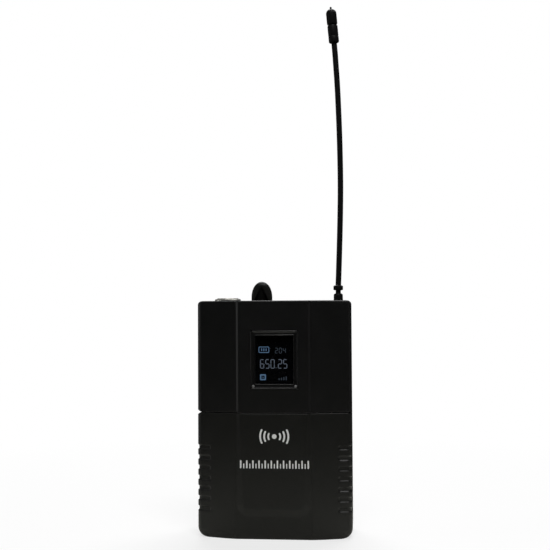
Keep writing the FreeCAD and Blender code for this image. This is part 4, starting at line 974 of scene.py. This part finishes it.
def makeCells():
    # two cells side by side, head to tail, turned from one profile
    can = [(0, 0), (6.2, 0), (6.5, 0.08), (6.9, 0.25), (7.15, 0.5), (7.25, 0.9), (7.25, 47.9), (7.15, 48.3),
           (6.8, 48.75), (6.3, 49.0), (5.9, 49.05), (5.6, 48.8), (3.2, 48.8), (2.95, 49.0), (2.75, 49.25),
           (2.75, 50.2), (2.6, 50.42), (2.3, 50.5), (0, 50.5)]
    for node in ("battery_cell_left", "battery_cell_right"):
        low, high = nodeBox(node)
        upright = node.endswith("left")
        spot = ((low[0] + high[0]) / 2, (low[1] + high[1]) / 2, low[2] if upright else 0)
        profile = can if upright else [(r, high[2] - z) for r, z in can]
        standFor(lathe(profile, spot, "Z", 72), node, "cellSleeveUp" if upright else "cellSleeveDown")


def makeKeys():
    # round key tops with a dished middle and a flange behind the panel
    for node in ("select_key", "set_key"):
        low, high = nodeBox(node)
        x, z, front, back = (low[0] + high[0]) / 2, (low[2] + high[2]) / 2, low[1], high[1]
        profile = [(0, front + 0.22), (0.7, front + 0.17), (1.2, front + 0.06), (1.5, front),
                   (1.8, front + 0.05), (2.0, front + 0.3), (2.0, back - 0.7), (2.7, back - 0.7), (2.7, back),
                   (0, back)]
        standFor(lathe(profile, (x, 0, z), "Y", 48), node)


makeBezel(bezel)
makeScreen(screen)
makePrint(mark)
makeLever(lever)
makeSocket(socket)
makeAntenna(whip)
makeScrews(screws)
makeCells()
makeKeys()
print("display, print, lever, socket, antenna, screws, cells and keys made")


cameraSetup = {"lens": 62.2, "sensor": 36, "place": (34.8, -388.3, 91.3), "turn": 5.13, "pitch": 2.02,
               "roll": -0.32}


def makeCamera(setup):
    # place in millimetres; turned about the vertical, then pitched up and rolled, in degrees
    data = bpy.data.cameras.new("camera")
    data.lens, data.sensor_width = setup["lens"], setup["sensor"]
    data.clip_start, data.clip_end = 0.01, 20
    camera = bpy.data.objects.new("camera", data)
    turn = Matrix.Rotation(math.radians(setup["turn"]), 3, "Z")
    tilt = Matrix.Rotation(math.radians(90 + setup["pitch"]), 3, "X")
    roll = Matrix.Rotation(math.radians(setup["roll"]), 3, "Z")
    camera.rotation_euler = (turn @ tilt @ roll).to_euler()
    camera.location = [part * mm for part in setup["place"]]
    bpy.context.scene.collection.objects.link(camera)
    bpy.context.scene.camera = camera


def softbox(name, place, aim, size, power):
    # a rectangular light at place, in metres, that faces aim
    data = bpy.data.lights.new(name, "AREA")
    data.shape, data.size, data.size_y, data.energy = "RECTANGLE", size[0], size[1], power
    lamp = bpy.data.objects.new(name, data)
    lamp.location = place
    direction = np.array(aim, float) - np.array(place, float)
    lamp.rotation_euler = Vector(direction).to_track_quat("-Z", "Y").to_euler()
    bpy.context.scene.collection.objects.link(lamp)


studio = {
    "white": 1.0, "room": 0.004, "floorHalf": 6.0,
    # the floor as the camera sees it, and as it lights the object: pale near it and dark further off
    "floorShown": 0.86, "least": 0.7, "fadeStart": 0.08, "fadeEnd": 0.3,
    "floorNear": (0.95, 0.95, 0.86), "floorFar": (0.02, 0.02, 0.02), "nearEnd": 0.04, "farStart": 0.17,
    # place, aim, size and power of each light
    "lights": {
        "topLight": ((0.05, 0.36, 0.8), (0, 0, 0), (0.6, 0.4), 6),
        "leftLight": ((-0.65, -0.08, 0.12), (0, 0, 0.06), (0.22, 0.45), 0.62),
        "rightLight": ((0.7, -0.1, 0.12), (0, 0, 0.06), (0.2, 0.4), 0.2),
        "frontLight": ((0.1, -0.42, 0.75), (0, -0.1, 0.0), (0.4, 0.3), 3.8),
        "backLight": ((-0.2, 0.75, 0.5), (0, 0, 0.08), (0.6, 0.6), 0.9),
    },
}


def makeStudio(setup):
    # a white surround that only the camera sees, and a dim room that lights and reflects
    world = bpy.data.worlds.new("studio")
    bpy.context.scene.world = world
    world.use_nodes = True
    nodes, links = world.node_tree.nodes, world.node_tree.links
    background = nodes["Background"]
    sight = nodes.new("ShaderNodeLightPath")
    level = nodes.new("ShaderNodeMix")
    level.data_type = "RGBA"
    level.inputs[6].default_value = (setup["room"],) * 3 + (1,)
    level.inputs[7].default_value = (setup["white"],) * 3 + (1,)
    links.new(sight.outputs["Is Camera Ray"], level.inputs[0])
    links.new(level.outputs[2], background.inputs["Color"])
    half = setup["floorHalf"] / mm
    corners = [(-half, -half, 0), (half, -half, 0), (half, half, 0), (-half, half, 0)]
    floor = newObject(corners, [[0, 1, 2, 3]])
    floor.name = "floor"
    paint = Paint("floorWhite", Roughness=0.6)
    seen = paint.node("ShaderNodeLightPath", {}, {}, "Is Camera Ray")
    x, y = paint.axes()[:2]
    away = (x * x + y * y) ** 0.5
    far = paint.spread(away, setup["nearEnd"], setup["farStart"])
    lit = paint.mix(far, setup["floorNear"], setup["floorFar"])
    paint.shade(Base_Color=paint.mix(seen, lit, (setup["floorShown"],) * 3))
    glow = paint.node("ShaderNodeEmission", {}, {"Strength": setup["white"]})
    factor = paint.spread(away, setup["fadeStart"], setup["fadeEnd"], setup["least"], 1) * seen
    shader = Signal(paint, paint.shader.outputs[0])
    blend = paint.node("ShaderNodeMixShader", {}, {0: factor, 1: shader, 2: glow})
    paint.tree.links.new(blend.socket, paint.tree.nodes["Material Output"].inputs["Surface"])
    floor.data.materials.append(paint.material)
    for name, settings in setup["lights"].items():
        softbox(name, *settings)
    bpy.context.scene.view_settings.view_transform = "Standard"


makeCamera(cameraSetup)
makeStudio(studio)
print("camera and studio set")
